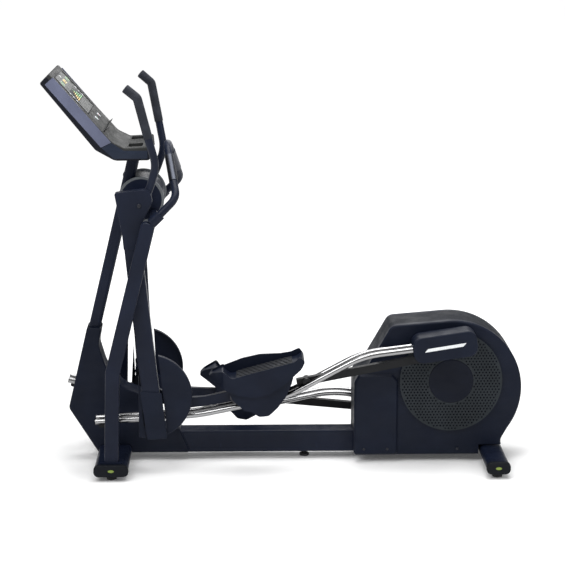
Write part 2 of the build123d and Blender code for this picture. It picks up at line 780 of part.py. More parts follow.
def rail_beam(side):
    """The straight beam under the rails, its ties and the crank pin bearing housing."""
    pin = crank_pin(LEFT)
    near = RAIL_MID_Y - BEAM_WIDTH / 2
    far = RAIL_MID_Y + BEAM_WIDTH / 2
    beam = slab(beam_profile(), side, near, far)
    beam += slab(disc(pin, 34), side, RAIL_INNER_Y - 8, RAIL_OUTER_Y + 12)
    tie_low = moved(BEAM_FRONT, 44, 0, slope(BEAM_FRONT, BEAM_REAR))
    tie_high = moved(BEAM_REAR, -40, 12, slope(BEAM_FRONT, BEAM_REAR))
    beam += slab(disc(tie_low, 17), side, RAIL_INNER_Y, RAIL_OUTER_Y)
    beam += slab(disc(tie_high, 22), side, RAIL_INNER_Y, RAIL_OUTER_Y)
    lug = Pos(RAIL_START[0] + 34, RAIL_START[1] - RAIL_TUBE_R - 3) * RectangleRounded(40, 20, 8)
    stop = slab(lug, side, RAIL_INNER_Y, RAIL_OUTER_Y)
    plugs = []
    for y in (RAIL_INNER_Y, RAIL_OUTER_Y):
        beam -= rail_solid(side, y)
        stop -= rail_solid(side, y)
    beam -= slab(disc(pin, 14), side, 0, RAIL_OUTER_Y)
    angle = slope(RAIL_START, RAIL_BEND_1)
    tip = moved(RAIL_START, -2, 0, angle)
    inside = moved(RAIL_START, 14, 0, angle)
    for y in (RAIL_INNER_Y, RAIL_OUTER_Y):
        stem = tube(
            [(RAIL_START[0], side * y, RAIL_START[1]), (inside[0], side * y, inside[1])],
            [],
            RAIL_TUBE_R - RAIL_TUBE_WALL,
        )
        head = tube(
            [(tip[0], side * y, tip[1]), (RAIL_START[0], side * y, RAIL_START[1])],
            [],
            RAIL_TUBE_R - 1,
        )
        plugs.append(stem + head)
    pieces = [on_rail(piece, side) for piece in (beam, stop, *plugs)]
    return Compound(children=pieces)


def crank_cover(side):
    """The long moulded cover over the crank pin bearing and the rails' rear ends."""
    face = Pos(*COVER_CENTRE) * Rot(0, 0, COVER_TILT) * RectangleRounded(COVER_LENGTH, COVER_HEIGHT, 44)
    inner = Pos(*COVER_CENTRE) * Rot(0, 0, COVER_TILT) * RectangleRounded(
        COVER_LENGTH - 2 * COVER_WALL, COVER_HEIGHT - 2 * COVER_WALL, 44 - COVER_WALL
    )
    near = PEDAL_IN + 9
    far = near + COVER_THICK
    shell = slab(face, side, near, far)
    rim = shell.faces().sort_by(Axis.Y)[-1 if side == RIGHT else 0]
    shell = fillet(rim.edges(), 8)
    shell -= slab(inner, side, near + COVER_WALL, far - COVER_WALL)
    for y in (RAIL_INNER_Y, RAIL_OUTER_Y):
        shell -= rail_solid(side, y)
    mouth = offset(beam_profile(), 1)
    shell -= slab(mouth, side, RAIL_MID_Y - BEAM_WIDTH / 2 - 1, RAIL_MID_Y + BEAM_WIDTH / 2 + 1)
    shell -= slab(disc(crank_pin(LEFT), 24), side, 0, near + 2 * COVER_WALL)
    return on_rail(shell, side)


# ================================================================ pedal arm
def pedal_link(side):
    """The bent bar from the arm's foot joint to the pedal, with the roller axle."""
    pivot = LINK_PIVOT
    axle = roller_centre(LEFT)
    near = RAIL_MID_Y - LINK_THICK / 2
    far = RAIL_MID_Y + LINK_THICK / 2
    face = outline(
        [
            (pivot[0] - 22, pivot[1] + 26),
            (pivot[0] + 30, pivot[1] + 22),
            (-440, 326),
            (-330, 334),
            (-170, 370),
            (-98, 410),
            (-62, 438),
            (50, 470),
            (62, 448),
            (-30, 414),
            (-120, 350),
            (axle[0] + 8, axle[1] - 22),
            (-330, 292),
            (-440, 278),
            (pivot[0] - 26, pivot[1] - 24),
        ],
        [20, 20, 90, 150, 60, 40, 20, 6, 6, 30, 40, 12, 150, 60, 22],
    )
    body = slab(face, side, near, far)
    body += slab(disc(pivot, LINK_EYE_R), side, near, far)
    body -= slab(disc(pivot, LINK_PIN_R + SHAFT_CLEARANCE), side, 0, 300)
    body += slab(disc(axle, 17), side, near - 5, far + 5)
    inner_end = PEDAL_IN + PEDAL_WALL + 1
    body += slab(disc(axle, ROLLER_AXLE_R), side, inner_end, RAIL_OUTER_Y + ROLLER_WIDTH / 2 + 6)
    return on_pedal(body, side)


DECK_FRONT = (-220.0, 424.0)
DECK_REAR = (74.0, 505.0)
BOWL_POINTS = [
    (-320, 416),
    (-302, 440),
    (-252, 466),
    (-214, 434),
    (58, 508),
    (84, 530),
    (106, 508),
    (90, 476),
    (30, 420),
    (-47, 364),
    (-112, 349),
    (-178, 357),
    (-230, 376),
    (-292, 404),
]
BOWL_RADII = [10, 16, 12, 22, 30, 9, 12, 60, 80, 60, 60, 60, 60, 40]
LOBE_POINTS = [
    (-240, 392),
    (60, 462),
    (48, 408),
    (24, 350),
    (-14, 298),
    (-52, 262),
    (-94, 258),
    (-130, 281),
    (-160, 287),
    (-210, 334),
]
LOBE_RADII = [4, 4, 30, 60, 40, 22, 22, 14, 14, 30]
INNER_POINTS = [
    (-312, 420),
    (-286, 444),
    (-240, 464),
    (-168, 492),
    (-89, 510),
    (0, 513),
    (46, 520),
    (84, 537),
    (106, 508),
    (60, 470),
    (-150, 400),
    (-280, 420),
]
INNER_RADII = [10, 12, 60, 60, 80, 80, 40, 9, 12, 20, 20, 20]
INNER_THICK = 7.0
LOBE_INSET = 16.0


def pedal_plan(side, inset):
    """The pedal's outline seen from above, its outer toe corner cut back."""
    low = PEDAL_IN + inset
    high = PEDAL_OUT - inset
    corners = [
        (-322 + inset, side * low),
        (-322 + inset, side * (low + 30)),
        (-250 + inset, side * high),
        (112 - inset, side * high),
        (112 - inset, side * low),
    ]
    plan = make_face(FilletPolyline(*corners, radius=[4, 24, 26, 22, 6], close=True))
    return extrude(plan, 900, dir=(0, 0, 1))


def pedal(side):
    """The moulded pedal: a raked deck in a bowl, a raised inner wall and a roller guard."""
    bowl = outline(BOWL_POINTS, BOWL_RADII)
    plan = pedal_plan(side, 0)
    body = slab(bowl, side, PEDAL_IN, PEDAL_OUT) & plan
    top_line = [(-300, 432), (-254, 456), DECK_FRONT, DECK_REAR, (96, 522), (140, 640), (-360, 640)]
    well = outline(top_line, [6, 6, 24, 20, 2, 0, 0])
    body -= slab(well, side, PEDAL_IN + PEDAL_WALL, PEDAL_OUT - PEDAL_WALL) & pedal_plan(side, PEDAL_WALL + 1)
    inner = outline(INNER_POINTS, INNER_RADII)
    body += slab(inner, side, PEDAL_IN, PEDAL_IN + INNER_THICK) & plan
    lobe = outline(LOBE_POINTS, LOBE_RADII)
    body += slab(lobe, side, PEDAL_IN, PEDAL_OUT - LOBE_INSET)
    tunnel = outline(
        [(-420, 392), (-262, 406), (-214, 402), (72, 480), (92, 500), (200, 470), (200, 150), (-420, 150)],
        [10, 10, 20, 10, 3, 0, 0, 0],
    )
    far = PEDAL_OUT - LOBE_INSET - PEDAL_WALL
    body -= slab(tunnel, side, PEDAL_IN + PEDAL_WALL + 1, far)
    seat_low = RAIL_MID_Y - LINK_THICK / 2 - 5
    link_seat = outline([(-100, 440), (54, 484), (62, 458), (-40, 420)], [4, 4, 4, 4])
    body += slab(link_seat, side, seat_low, seat_low + LINK_THICK + 10)
    return on_pedal(body, side) - pedal_link(side)


def pedal_tread(side):
    """The ribbed rubber mat on the pedal's deck."""
    angle = slope(DECK_FRONT, DECK_REAR)
    start = moved(DECK_FRONT, 28, 0.0, angle)
    end = moved(DECK_REAR, -24, 0.0, angle)
    top_start = moved(start, 0, TREAD_THICK, angle)
    top_end = moved(end, 0, TREAD_THICK, angle)
    mat = outline([start, end, top_end, top_start], [0, 0, 1, 1])
    near = PEDAL_IN + INNER_THICK + 5
    far = PEDAL_OUT - PEDAL_WALL - 6
    body = slab(mat, side, near, far)
    low = moved(start, 4, TREAD_THICK - 1, angle)
    high = moved(end, -4, TREAD_THICK - 1, angle)
    rib_top = moved(end, -4, TREAD_THICK + RIB_HEIGHT, angle)
    rib_start = moved(start, 4, TREAD_THICK + RIB_HEIGHT, angle)
    field = slab(outline([low, high, rib_top, rib_start], [0, 0, 0, 0]), side, near + 4, far - 4)
    ribs = []
    for index in range(RIB_COUNT):
        along = (index + 0.5) / RIB_COUNT * math.dist(start, end)
        foot = moved(start, along, TREAD_THICK, angle)
        place = Pos(foot[0], side * (near + far) / 2, foot[1]) * Rot(0, -angle, 0) * Rot(0, 0, -side * RIB_SKEW)
        ribs.append(place * Box(RIB_WIDTH, 2 * (far - near), 2 * RIB_HEIGHT))
    for rib in ribs:
        body += rib & field
    return on_pedal(body, side)


def pedal_roller(side):
    """The two tyred wheels that run on the twin rails."""
    centre = roller_centre(LEFT)
    wheels = []
    for y in (RAIL_INNER_Y, RAIL_OUTER_Y):
        wheel = slab(disc(centre, ROLLER_R), side, y - ROLLER_WIDTH / 2, y + ROLLER_WIDTH / 2)
        wheel = fillet(wheel.edges().filter_by(GeomType.CIRCLE), 3)
        wheel -= slab(disc(centre, ROLLER_AXLE_R + SHAFT_CLEARANCE), side, 0, 300)
        wheels.append(on_pedal(wheel, side))
    return Compound(children=wheels)


# ================================================================ crank set and drive
def crank_axle():
    """The through axle that carries the pulley and both cranks."""
    return centred(disc(HUB, AXLE_R), HOUSING_HALF + SIDE_GAP + CRANK_ARM_THICK)


def crank_arms():
    """Both crank arms with the bosses that face the rail bearings."""
    pieces = []
    start = HOUSING_HALF + SIDE_GAP
    for side in (LEFT, RIGHT):
        pin = crank_pin(side)
        body = slab(disc(HUB, 42), side, start, start + CRANK_ARM_THICK)
        body += slab(bar(HUB, pin, 56), side, start, start + CRANK_ARM_THICK)
        body += slab(disc(pin, PIN_BOSS_R), side, start, start + CRANK_ARM_THICK + RING_THICK + 8)
        pieces.append(body - slab(disc(HUB, AXLE_R), side, 0, start + CRANK_ARM_THICK))
    return Compound(children=pieces)


def crank_rings():
    """The perforated guard rings, drawn plain, that turn with the cranks."""
    pieces = []
    start = HOUSING_HALF + SIDE_GAP + CRANK_ARM_THICK
    for side in (LEFT, RIGHT):
        ring = slab(disc(HUB, RING_R) - disc(HUB, HUB_CAP_R), side, start, start + RING_THICK)
        pieces.append(ring - slab(disc(crank_pin(side), PIN_BOSS_R), side, 0, 300))
    return Compound(children=pieces)


def hub_caps():
    """The plain round caps at the middle of the guard rings."""
    pieces = []
    start = HOUSING_HALF + SIDE_GAP + CRANK_ARM_THICK
    for side in (LEFT, RIGHT):
        cap = slab(disc(HUB, HUB_CAP_R), side, start, start + HUB_CAP_THICK)
        rim = cap.faces().sort_by(Axis.Y)[-1 if side == RIGHT else 0]
        pieces.append(fillet(rim.edges(), 3))
    return Compound(children=pieces)


def drive_pulley():
    """The large belt pulley on the crank axle, with five spokes' gaps."""
    wheel = centred(disc(HUB, PULLEY_R), PULLEY_THICK / 2)
    groove = disc(HUB, PULLEY_R) - disc(HUB, PULLEY_R - BELT_THICK)
    wheel -= centred(groove, BELT_WIDTH / 2)
    for index in range(5):
        angle = math.radians(72 * index + 18)
        hole = (HUB[0] + 105 * math.cos(angle), HUB[1] + 105 * math.sin(angle))
        wheel -= centred(disc(hole, 40), PULLEY_THICK)
    return wheel - centred(disc(HUB, AXLE_R), PULLEY_THICK)


def flywheel():
    """The brake flywheel with its belt pulley and spindle."""
    pulley_face = disc(FLYWHEEL, FLYWHEEL_PULLEY_R)
    body = centred(pulley_face, PULLEY_THICK / 2)
    groove = disc(FLYWHEEL, FLYWHEEL_PULLEY_R) - disc(FLYWHEEL, FLYWHEEL_PULLEY_R - BELT_THICK)
    body -= centred(groove, BELT_WIDTH / 2)
    body += centred(disc(FLYWHEEL, AXLE_R / 2), SPINE_WIDTH / 2 + FLYWHEEL_THICK + 12)
    start = SPINE_WIDTH / 2 + 4
    wheel = slab(disc(FLYWHEEL, FLYWHEEL_R), RIGHT, start, start + FLYWHEEL_THICK)
    return body + wheel


def drive_belt():
    """The poly-V belt round both pulleys, a hair off their grooves."""
    seat = BELT_THICK - PART_GAP
    outer = belt_loop(PULLEY_R - PART_GAP, FLYWHEEL_PULLEY_R - PART_GAP, BELT_WIDTH / 2 - PART_GAP)
    return outer - belt_loop(PULLEY_R - seat, FLYWHEEL_PULLEY_R - seat, BELT_WIDTH)


def belt_loop(big, small, half):
    """The solid inside a belt line round both pulley centres."""
    span = math.dist(HUB, FLYWHEEL)
    tilt = slope(FLYWHEEL, HUB)
    lean = math.asin((big - small) / span)
    corners = []
    for centre, radius, sign in (
        (FLYWHEEL, small, 1),
        (HUB, big, 1),
        (HUB, big, -1),
        (FLYWHEEL, small, -1),
    ):
        along = -radius * math.sin(lean)
        above = sign * radius * math.cos(lean)
        corners.append(moved(centre, along, above, tilt))
    body = centred(outline(corners, [0, 0, 0, 0]), half)
    return body + centred(disc(HUB, big), half) + centred(disc(FLYWHEEL, small), half)


# ================================================================ rear housing
HOUSING_CENTRE = (765.0, 338.0)
HOUSING_R = 312.0
HOUSING_BOTTOM = 34.0
HOUSING_FRONT = 330.0
HOUSING_WALL = 3.5
STRIP_HALF = 84.0
LEDGE_OUT = 128.0


def rim_point(degrees):
    """A point on the housing's round rear."""
    angle = math.radians(degrees)
    return (
        HOUSING_CENTRE[0] + HOUSING_R * math.cos(angle),
        HOUSING_CENTRE[1] + HOUSING_R * math.sin(angle),
    )


def housing_face(inset):
    """The drive housing's side outline, drawn in by an inset."""
    top = rim_point(94.8)
    low = rim_point(-35)
    rear = ThreePointArc(top, rim_point(25), low)
    front = FilletPolyline(
        low,
        (988, 102),
        (1000, HOUSING_BOTTOM),
        (HOUSING_FRONT, HOUSING_BOTTOM),
        (HOUSING_FRONT, 372),
        (HOUSING_FRONT + 22, 412),
        (HOUSING_FRONT + 58, 442),
        (HOUSING_FRONT + 164, 628),
        top,
        radius=[40, 14, 14, 36, 16, 30, 44],
    )
    face = make_face(rear + front)
    return offset(face, -inset) if inset else face


def axle_clearance(side):
    """The opening in the housing's side for the crank axle."""
    return slab(disc(HUB, 50), side, 0, 300)


def housing_side(side):
    """One side shell of the drive housing, with its wider ledge at the front."""
    shell = slab(housing_face(0), side, STRIP_HALF, HOUSING_HALF)
    rim = shell.faces().sort_by(Axis.Y)[-1 if side == RIGHT else 0]
    shell = fillet(rim.edges(), 9)
    shell -= slab(housing_face(HOUSING_WALL), side, 0, HOUSING_HALF - HOUSING_WALL)
    front = HOUSING_FRONT
    ledge_points = [
        (front, 36),
        (front, 372),
        (front + 20, 409),
        (front + 170, 409),
        (front + 196, 380),
        (front + 196, 36),
    ]
    ledge = outline(ledge_points, [14, 34, 14, 14, 20, 14])
    block = slab(ledge, side, HOUSING_HALF - 12, LEDGE_OUT)
    outer = block.faces().sort_by(Axis.Y)[-1 if side == RIGHT else 0]
    block = chamfer(outer.edges(), 9)
    block -= slab(offset(ledge, -12), side, 0, LEDGE_OUT - HOUSING_WALL)
    block -= slab(disc(HUB, RING_R + 8), side, HOUSING_HALF, 300)
    shell += block
    shell -= slab(offset(ledge, -12), side, HOUSING_HALF - 2 * HOUSING_WALL, LEDGE_OUT - HOUSING_WALL)
    shell -= axle_clearance(side)
    return shell - slab(rear_foot_notch(), side, 0, 300)


def rear_foot_notch():
    """The room left in the housing for the rear stabiliser."""
    return Pos(REAR_X, STABILISER_Z) * Rectangle(REAR_WIDTH + 16, 2 * (REAR_HEIGHT + 6))


def housing_top():
    """The dark band that wraps over the housing from its front face to its rear foot."""
    band = centred(housing_face(0), STRIP_HALF - PART_GAP)
    band -= centred(housing_face(HOUSING_WALL), STRIP_HALF)
    spine = Pos(600, SPINE_Z) * Rectangle(900, 2 * (SPINE_HEIGHT + SIDE_GAP))
    return band - centred(spine, STRIP_HALF + 1) - centred(rear_foot_notch(), STRIP_HALF + 1)


# ================================================================ console
CONSOLE_POINTS = [
    (-1020, 1713),
    (-980, 1754),
    (-718, 1462),
    (-664, 1436),
    (-560, 1442),
    (-554, 1384),
    (-708, 1382),
    (-790, 1428),
]
CONSOLE_RADII = [10, 8, 60, 30, 6, 14, 60, 50]


def console_face_line(share):
    """A point on the sloping display face, from its top edge (0) to its foot (1)."""
    top = CONSOLE_POINTS[1]
    low = CONSOLE_POINTS[2]
    return (top[0] + (low[0] - top[0]) * share, top[1] + (low[1] - top[1]) * share)


def console_slope():
    """The display face's angle."""
    return slope(CONSOLE_POINTS[1], CONSOLE_POINTS[2])


def console_prism(near_share, far_share, depth, half_width, above=0.0):
    """A block let into the display face between two shares of its length."""
    angle = console_slope()
    start = moved(console_face_line(near_share), 0, above, angle)
    end = moved(console_face_line(far_share), 0, above, angle)
    inner_start = moved(start, 0, -depth, angle)
    inner_end = moved(end, 0, -depth, angle)
    face = outline([start, end, inner_end, inner_start], [0, 0, 0, 0])
    return centred(face, half_width)


def console_split():
    """The face plate's region: the upper skin of the console."""
    angle = console_slope()
    top = moved(CONSOLE_POINTS[1], -60, 40, angle)
    low_in = moved(CONSOLE_POINTS[2], 10, -16, angle)
    return outline(
        [
            top,
            moved(CONSOLE_POINTS[1], -60, -16, angle),
            low_in,
            (-690, 1422),
            (-526, 1428),
            (-526, 1520),
            (-640, 1560),
        ],
        [0, 0, 30, 30, 0, 0, 0],
    )


def console_back():
    """The rear shell of the console, hollow, with the mast's socket."""
    face = outline(CONSOLE_POINTS, CONSOLE_RADII)
    shell = centred(face, CONSOLE_HALF)
    ends = shell.faces().sort_by(Axis.Y)
    shell = fillet(ends[0].edges() + ends[-1].edges(), 6)
    shell -= centred(console_split(), CONSOLE_HALF + 10)
    shell -= centred(offset(face, -CONSOLE_SKIN), CONSOLE_HALF - CONSOLE_SKIN)
    shell += mast_socket(MAST_WIDTH + 2 * CONSOLE_SKIN, MAST_DEPTH / 2 + CONSOLE_SKIN, CONSOLE_SKIN) & (
        centred(offset(face, -PART_GAP), CONSOLE_HALF) - centred(console_split(), CONSOLE_HALF + 10)
    )
    return shell - mast_socket(MAST_WIDTH, MAST_DEPTH / 2, 0)


def mast_socket(width, half, above):
    """The block of space round the mast's upper end."""
    low = (mast_point(1340), 1340)
    end = moved(MAST_TOP, above, 0, slope(MAST_BEND, MAST_TOP))
    return centred(strip(low, end, width), half)


def console_face():
    """The front plate: display bezel, rack ledge and tray with two cup wells."""
    face = outline(CONSOLE_POINTS, CONSOLE_RADII)
    plate = centred(face, CONSOLE_HALF)
    ends = plate.faces().sort_by(Axis.Y)
    plate = fillet(ends[0].edges() + ends[-1].edges(), 6)
    plate &= centred(console_split(), CONSOLE_HALF + 10)
    plate -= centred(offset(face, -CONSOLE_SKIN), CONSOLE_HALF - CONSOLE_SKIN)
    plate -= console_prism(0.08, 0.60, DISPLAY_DEPTH, DISPLAY_HALF)
    ledge_face = strip(
        moved(console_face_line(0.86), 0, -2, console_slope()),
        moved(console_face_line(0.86), 0, 20, console_slope()),
        3,
    )
    plate += centred(ledge_face, CONSOLE_HALF - 40)
    for side in (LEFT, RIGHT):
        well = Pos(TRAY_X, side * TRAY_Y, 1440) * Box(TRAY_LENGTH, TRAY_WIDTH, 90)
        floor = Pos(TRAY_X, side * TRAY_Y, 1414) * Box(TRAY_LENGTH + 6, TRAY_WIDTH + 6, 44)
        hollow = Pos(TRAY_X, side * TRAY_Y, 1425) * Box(TRAY_LENGTH, TRAY_WIDTH, 60)
        plate = (plate - well) + (floor - hollow)
    for side in (LEFT, RIGHT):
        plate -= key_cut(side, KEY_R + 0.4)
    return plate


DISPLAY_HALF = 150.0
DISPLAY_DEPTH = 3.0
TRAY_X = -622.0
TRAY_Y = 118.0
TRAY_LENGTH = 62.0
TRAY_WIDTH = 96.0
KEY_SHARE = 0.71
KEY_Y = 60.0


def key_cut(side, radius):
    """The round opening that a key slides in."""
    angle = console_slope()
    low = moved(console_face_line(KEY_SHARE), 0, -14, angle)
    high = moved(console_face_line(KEY_SHARE), 0, 14, angle)
    return tube([(low[0], side * KEY_Y, low[1]), (high[0], side * KEY_Y, high[1])], [], radius)


def console_key(side):
    """A round push key standing proud of the display face."""
    angle = console_slope()
    low = moved(console_face_line(KEY_SHARE), 0, -4, angle)
    high = moved(console_face_line(KEY_SHARE), 0, KEY_TRAVEL + 1, angle)
    key = tube([(low[0], side * KEY_Y, low[1]), (high[0], side * KEY_Y, high[1])], [], KEY_R)
    return key


def console_display():
    """The display window set flush in the face plate."""
    pane = console_prism(0.08, 0.60, DISPLAY_DEPTH - PART_GAP, DISPLAY_HALF - PART_GAP, -PART_GAP)
    return pane


def circuit_board():
    """The display's circuit board behind the face plate."""
    return console_prism(0.12, 0.80, 2.0, DISPLAY_HALF - 20, -26.0)


# ================================================================ build
def build():
    """Every sub-part by node name."""
    parts = {
        "base_frame": base_frame(),
        "front_stabiliser": stabiliser(FRONT_X, FRONT_WIDTH, FRONT_HEIGHT),
        "rear_stabiliser": stabiliser(REAR_X, REAR_WIDTH, REAR_HEIGHT),
        "stabiliser_caps": stabiliser_caps(),
        "mast": mast(),
        "pivot_housing": pivot_housing(),
        "pivot_axle": pivot_axle(),
        "fixed_handlebars": fixed_handlebars(),
        "pulse_grips": pulse_grips(),
        "console_back": console_back(),
        "console_face": console_face(),
        "console_display": console_display(),
        "circuit_board": circuit_board(),
        "start_key": console_key(LEFT),
        "stop_key": console_key(RIGHT),
        "housing_top": housing_top(),
        "drive_belt": drive_belt(),
        "crank_axle": crank_axle(),
        "crank_arms": crank_arms(),
        "crank_rings": crank_rings(),
        "hub_caps": hub_caps(),
        "drive_pulley": drive_pulley(),
        "flywheel": flywheel(),
        "levelling_foot_centre": levelling_foot(CENTRE_FOOT_X, 0, SPINE_Z),
    }
    for side, name in ((LEFT, "left"), (RIGHT, "right")):
        parts[f"shroud_{name}"] = shroud(side)
        parts[f"upright_{name}"] = upright(side)
        parts[f"housing_{name}"] = housing_side(side)
        parts[f"arm_{name}"] = arm(side)
        parts[f"arm_handle_{name}"] = arm_handle(side)
        parts[f"handle_grip_{name}"] = handle_grip(side)
        parts[f"arm_cover_{name}"] = arm_cover(side)
        parts[f"rail_guide_{name}"] = guide(side)
        parts[f"guide_roller_{name}"] = guide_roller(side)
        parts[f"rail_tubes_{name}"] = rail_tubes(side)
        parts[f"rail_beam_{name}"] = rail_beam(side)
        parts[f"crank_cover_{name}"] = crank_cover(side)
        parts[f"pedal_link_{name}"] = pedal_link(side)
        parts[f"pedal_{name}"] = pedal(side)
        parts[f"pedal_tread_{name}"] = pedal_tread(side)
        parts[f"pedal_roller_{name}"] = pedal_roller(side)
        y = side * FOOT_INSET_Y
        parts[f"levelling_foot_front_{name}"] = levelling_foot(FRONT_X, y, STABILISER_Z)
        parts[f"levelling_foot_rear_{name}"] = levelling_foot(REAR_X, y, STABILISER_Z)
    return parts


def set_down(parts):
    """Every sub-part moved so that the origin is under the middle of the overall length."""
    boxes = [shape.bounding_box() for shape in parts.values()]
    low = min(box.min.X for box in boxes)
    high = max(box.max.X for box in boxes)
    return {node: Pos(-(low + high) / 2, 0, 0) * shape for node, shape in parts.items()}


os.makedirs("parts", exist_ok=True)
for node, shape in set_down(build()).items():
    export_step(shape, f"parts/{node}.step")
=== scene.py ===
"""Finishes and detail pieces of the elliptical trainer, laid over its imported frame."""

import json
import logging
import math
from dataclasses import dataclass
from enum import Enum

import bmesh
import bpy
from mathutils import Matrix, Vector


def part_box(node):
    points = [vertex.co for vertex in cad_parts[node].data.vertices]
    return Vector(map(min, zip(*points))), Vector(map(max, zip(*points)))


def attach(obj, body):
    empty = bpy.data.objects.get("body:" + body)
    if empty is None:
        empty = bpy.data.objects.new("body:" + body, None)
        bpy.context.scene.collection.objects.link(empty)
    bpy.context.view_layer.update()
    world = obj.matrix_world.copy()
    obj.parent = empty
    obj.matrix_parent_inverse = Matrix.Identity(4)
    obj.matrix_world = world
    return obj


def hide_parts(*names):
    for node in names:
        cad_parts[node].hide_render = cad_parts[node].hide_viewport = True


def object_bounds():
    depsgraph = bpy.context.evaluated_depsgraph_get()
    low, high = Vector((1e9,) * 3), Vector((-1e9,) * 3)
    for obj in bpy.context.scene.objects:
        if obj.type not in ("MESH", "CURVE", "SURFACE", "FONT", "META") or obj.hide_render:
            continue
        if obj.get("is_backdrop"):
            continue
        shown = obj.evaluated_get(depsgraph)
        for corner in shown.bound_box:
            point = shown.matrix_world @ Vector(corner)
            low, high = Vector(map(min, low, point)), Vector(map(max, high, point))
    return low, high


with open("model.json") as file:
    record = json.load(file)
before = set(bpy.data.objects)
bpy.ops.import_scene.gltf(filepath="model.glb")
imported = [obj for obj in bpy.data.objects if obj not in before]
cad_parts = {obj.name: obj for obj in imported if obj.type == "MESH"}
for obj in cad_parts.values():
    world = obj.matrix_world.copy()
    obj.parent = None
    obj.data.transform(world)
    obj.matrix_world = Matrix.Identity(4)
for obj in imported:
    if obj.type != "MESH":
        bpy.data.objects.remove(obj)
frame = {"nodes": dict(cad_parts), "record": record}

Colour = tuple[float, float, float]
Point = tuple[float, float]

log = logging.getLogger("trainer")


class Side(Enum):
    """The user's left or right, as they stand on the pedals and face the console."""

    LEFT = -1
    RIGHT = 1

    @property
    def label(self) -> str:
        """The side's name, as the frame's nodes and bodies spell it."""
        return self.name.lower()


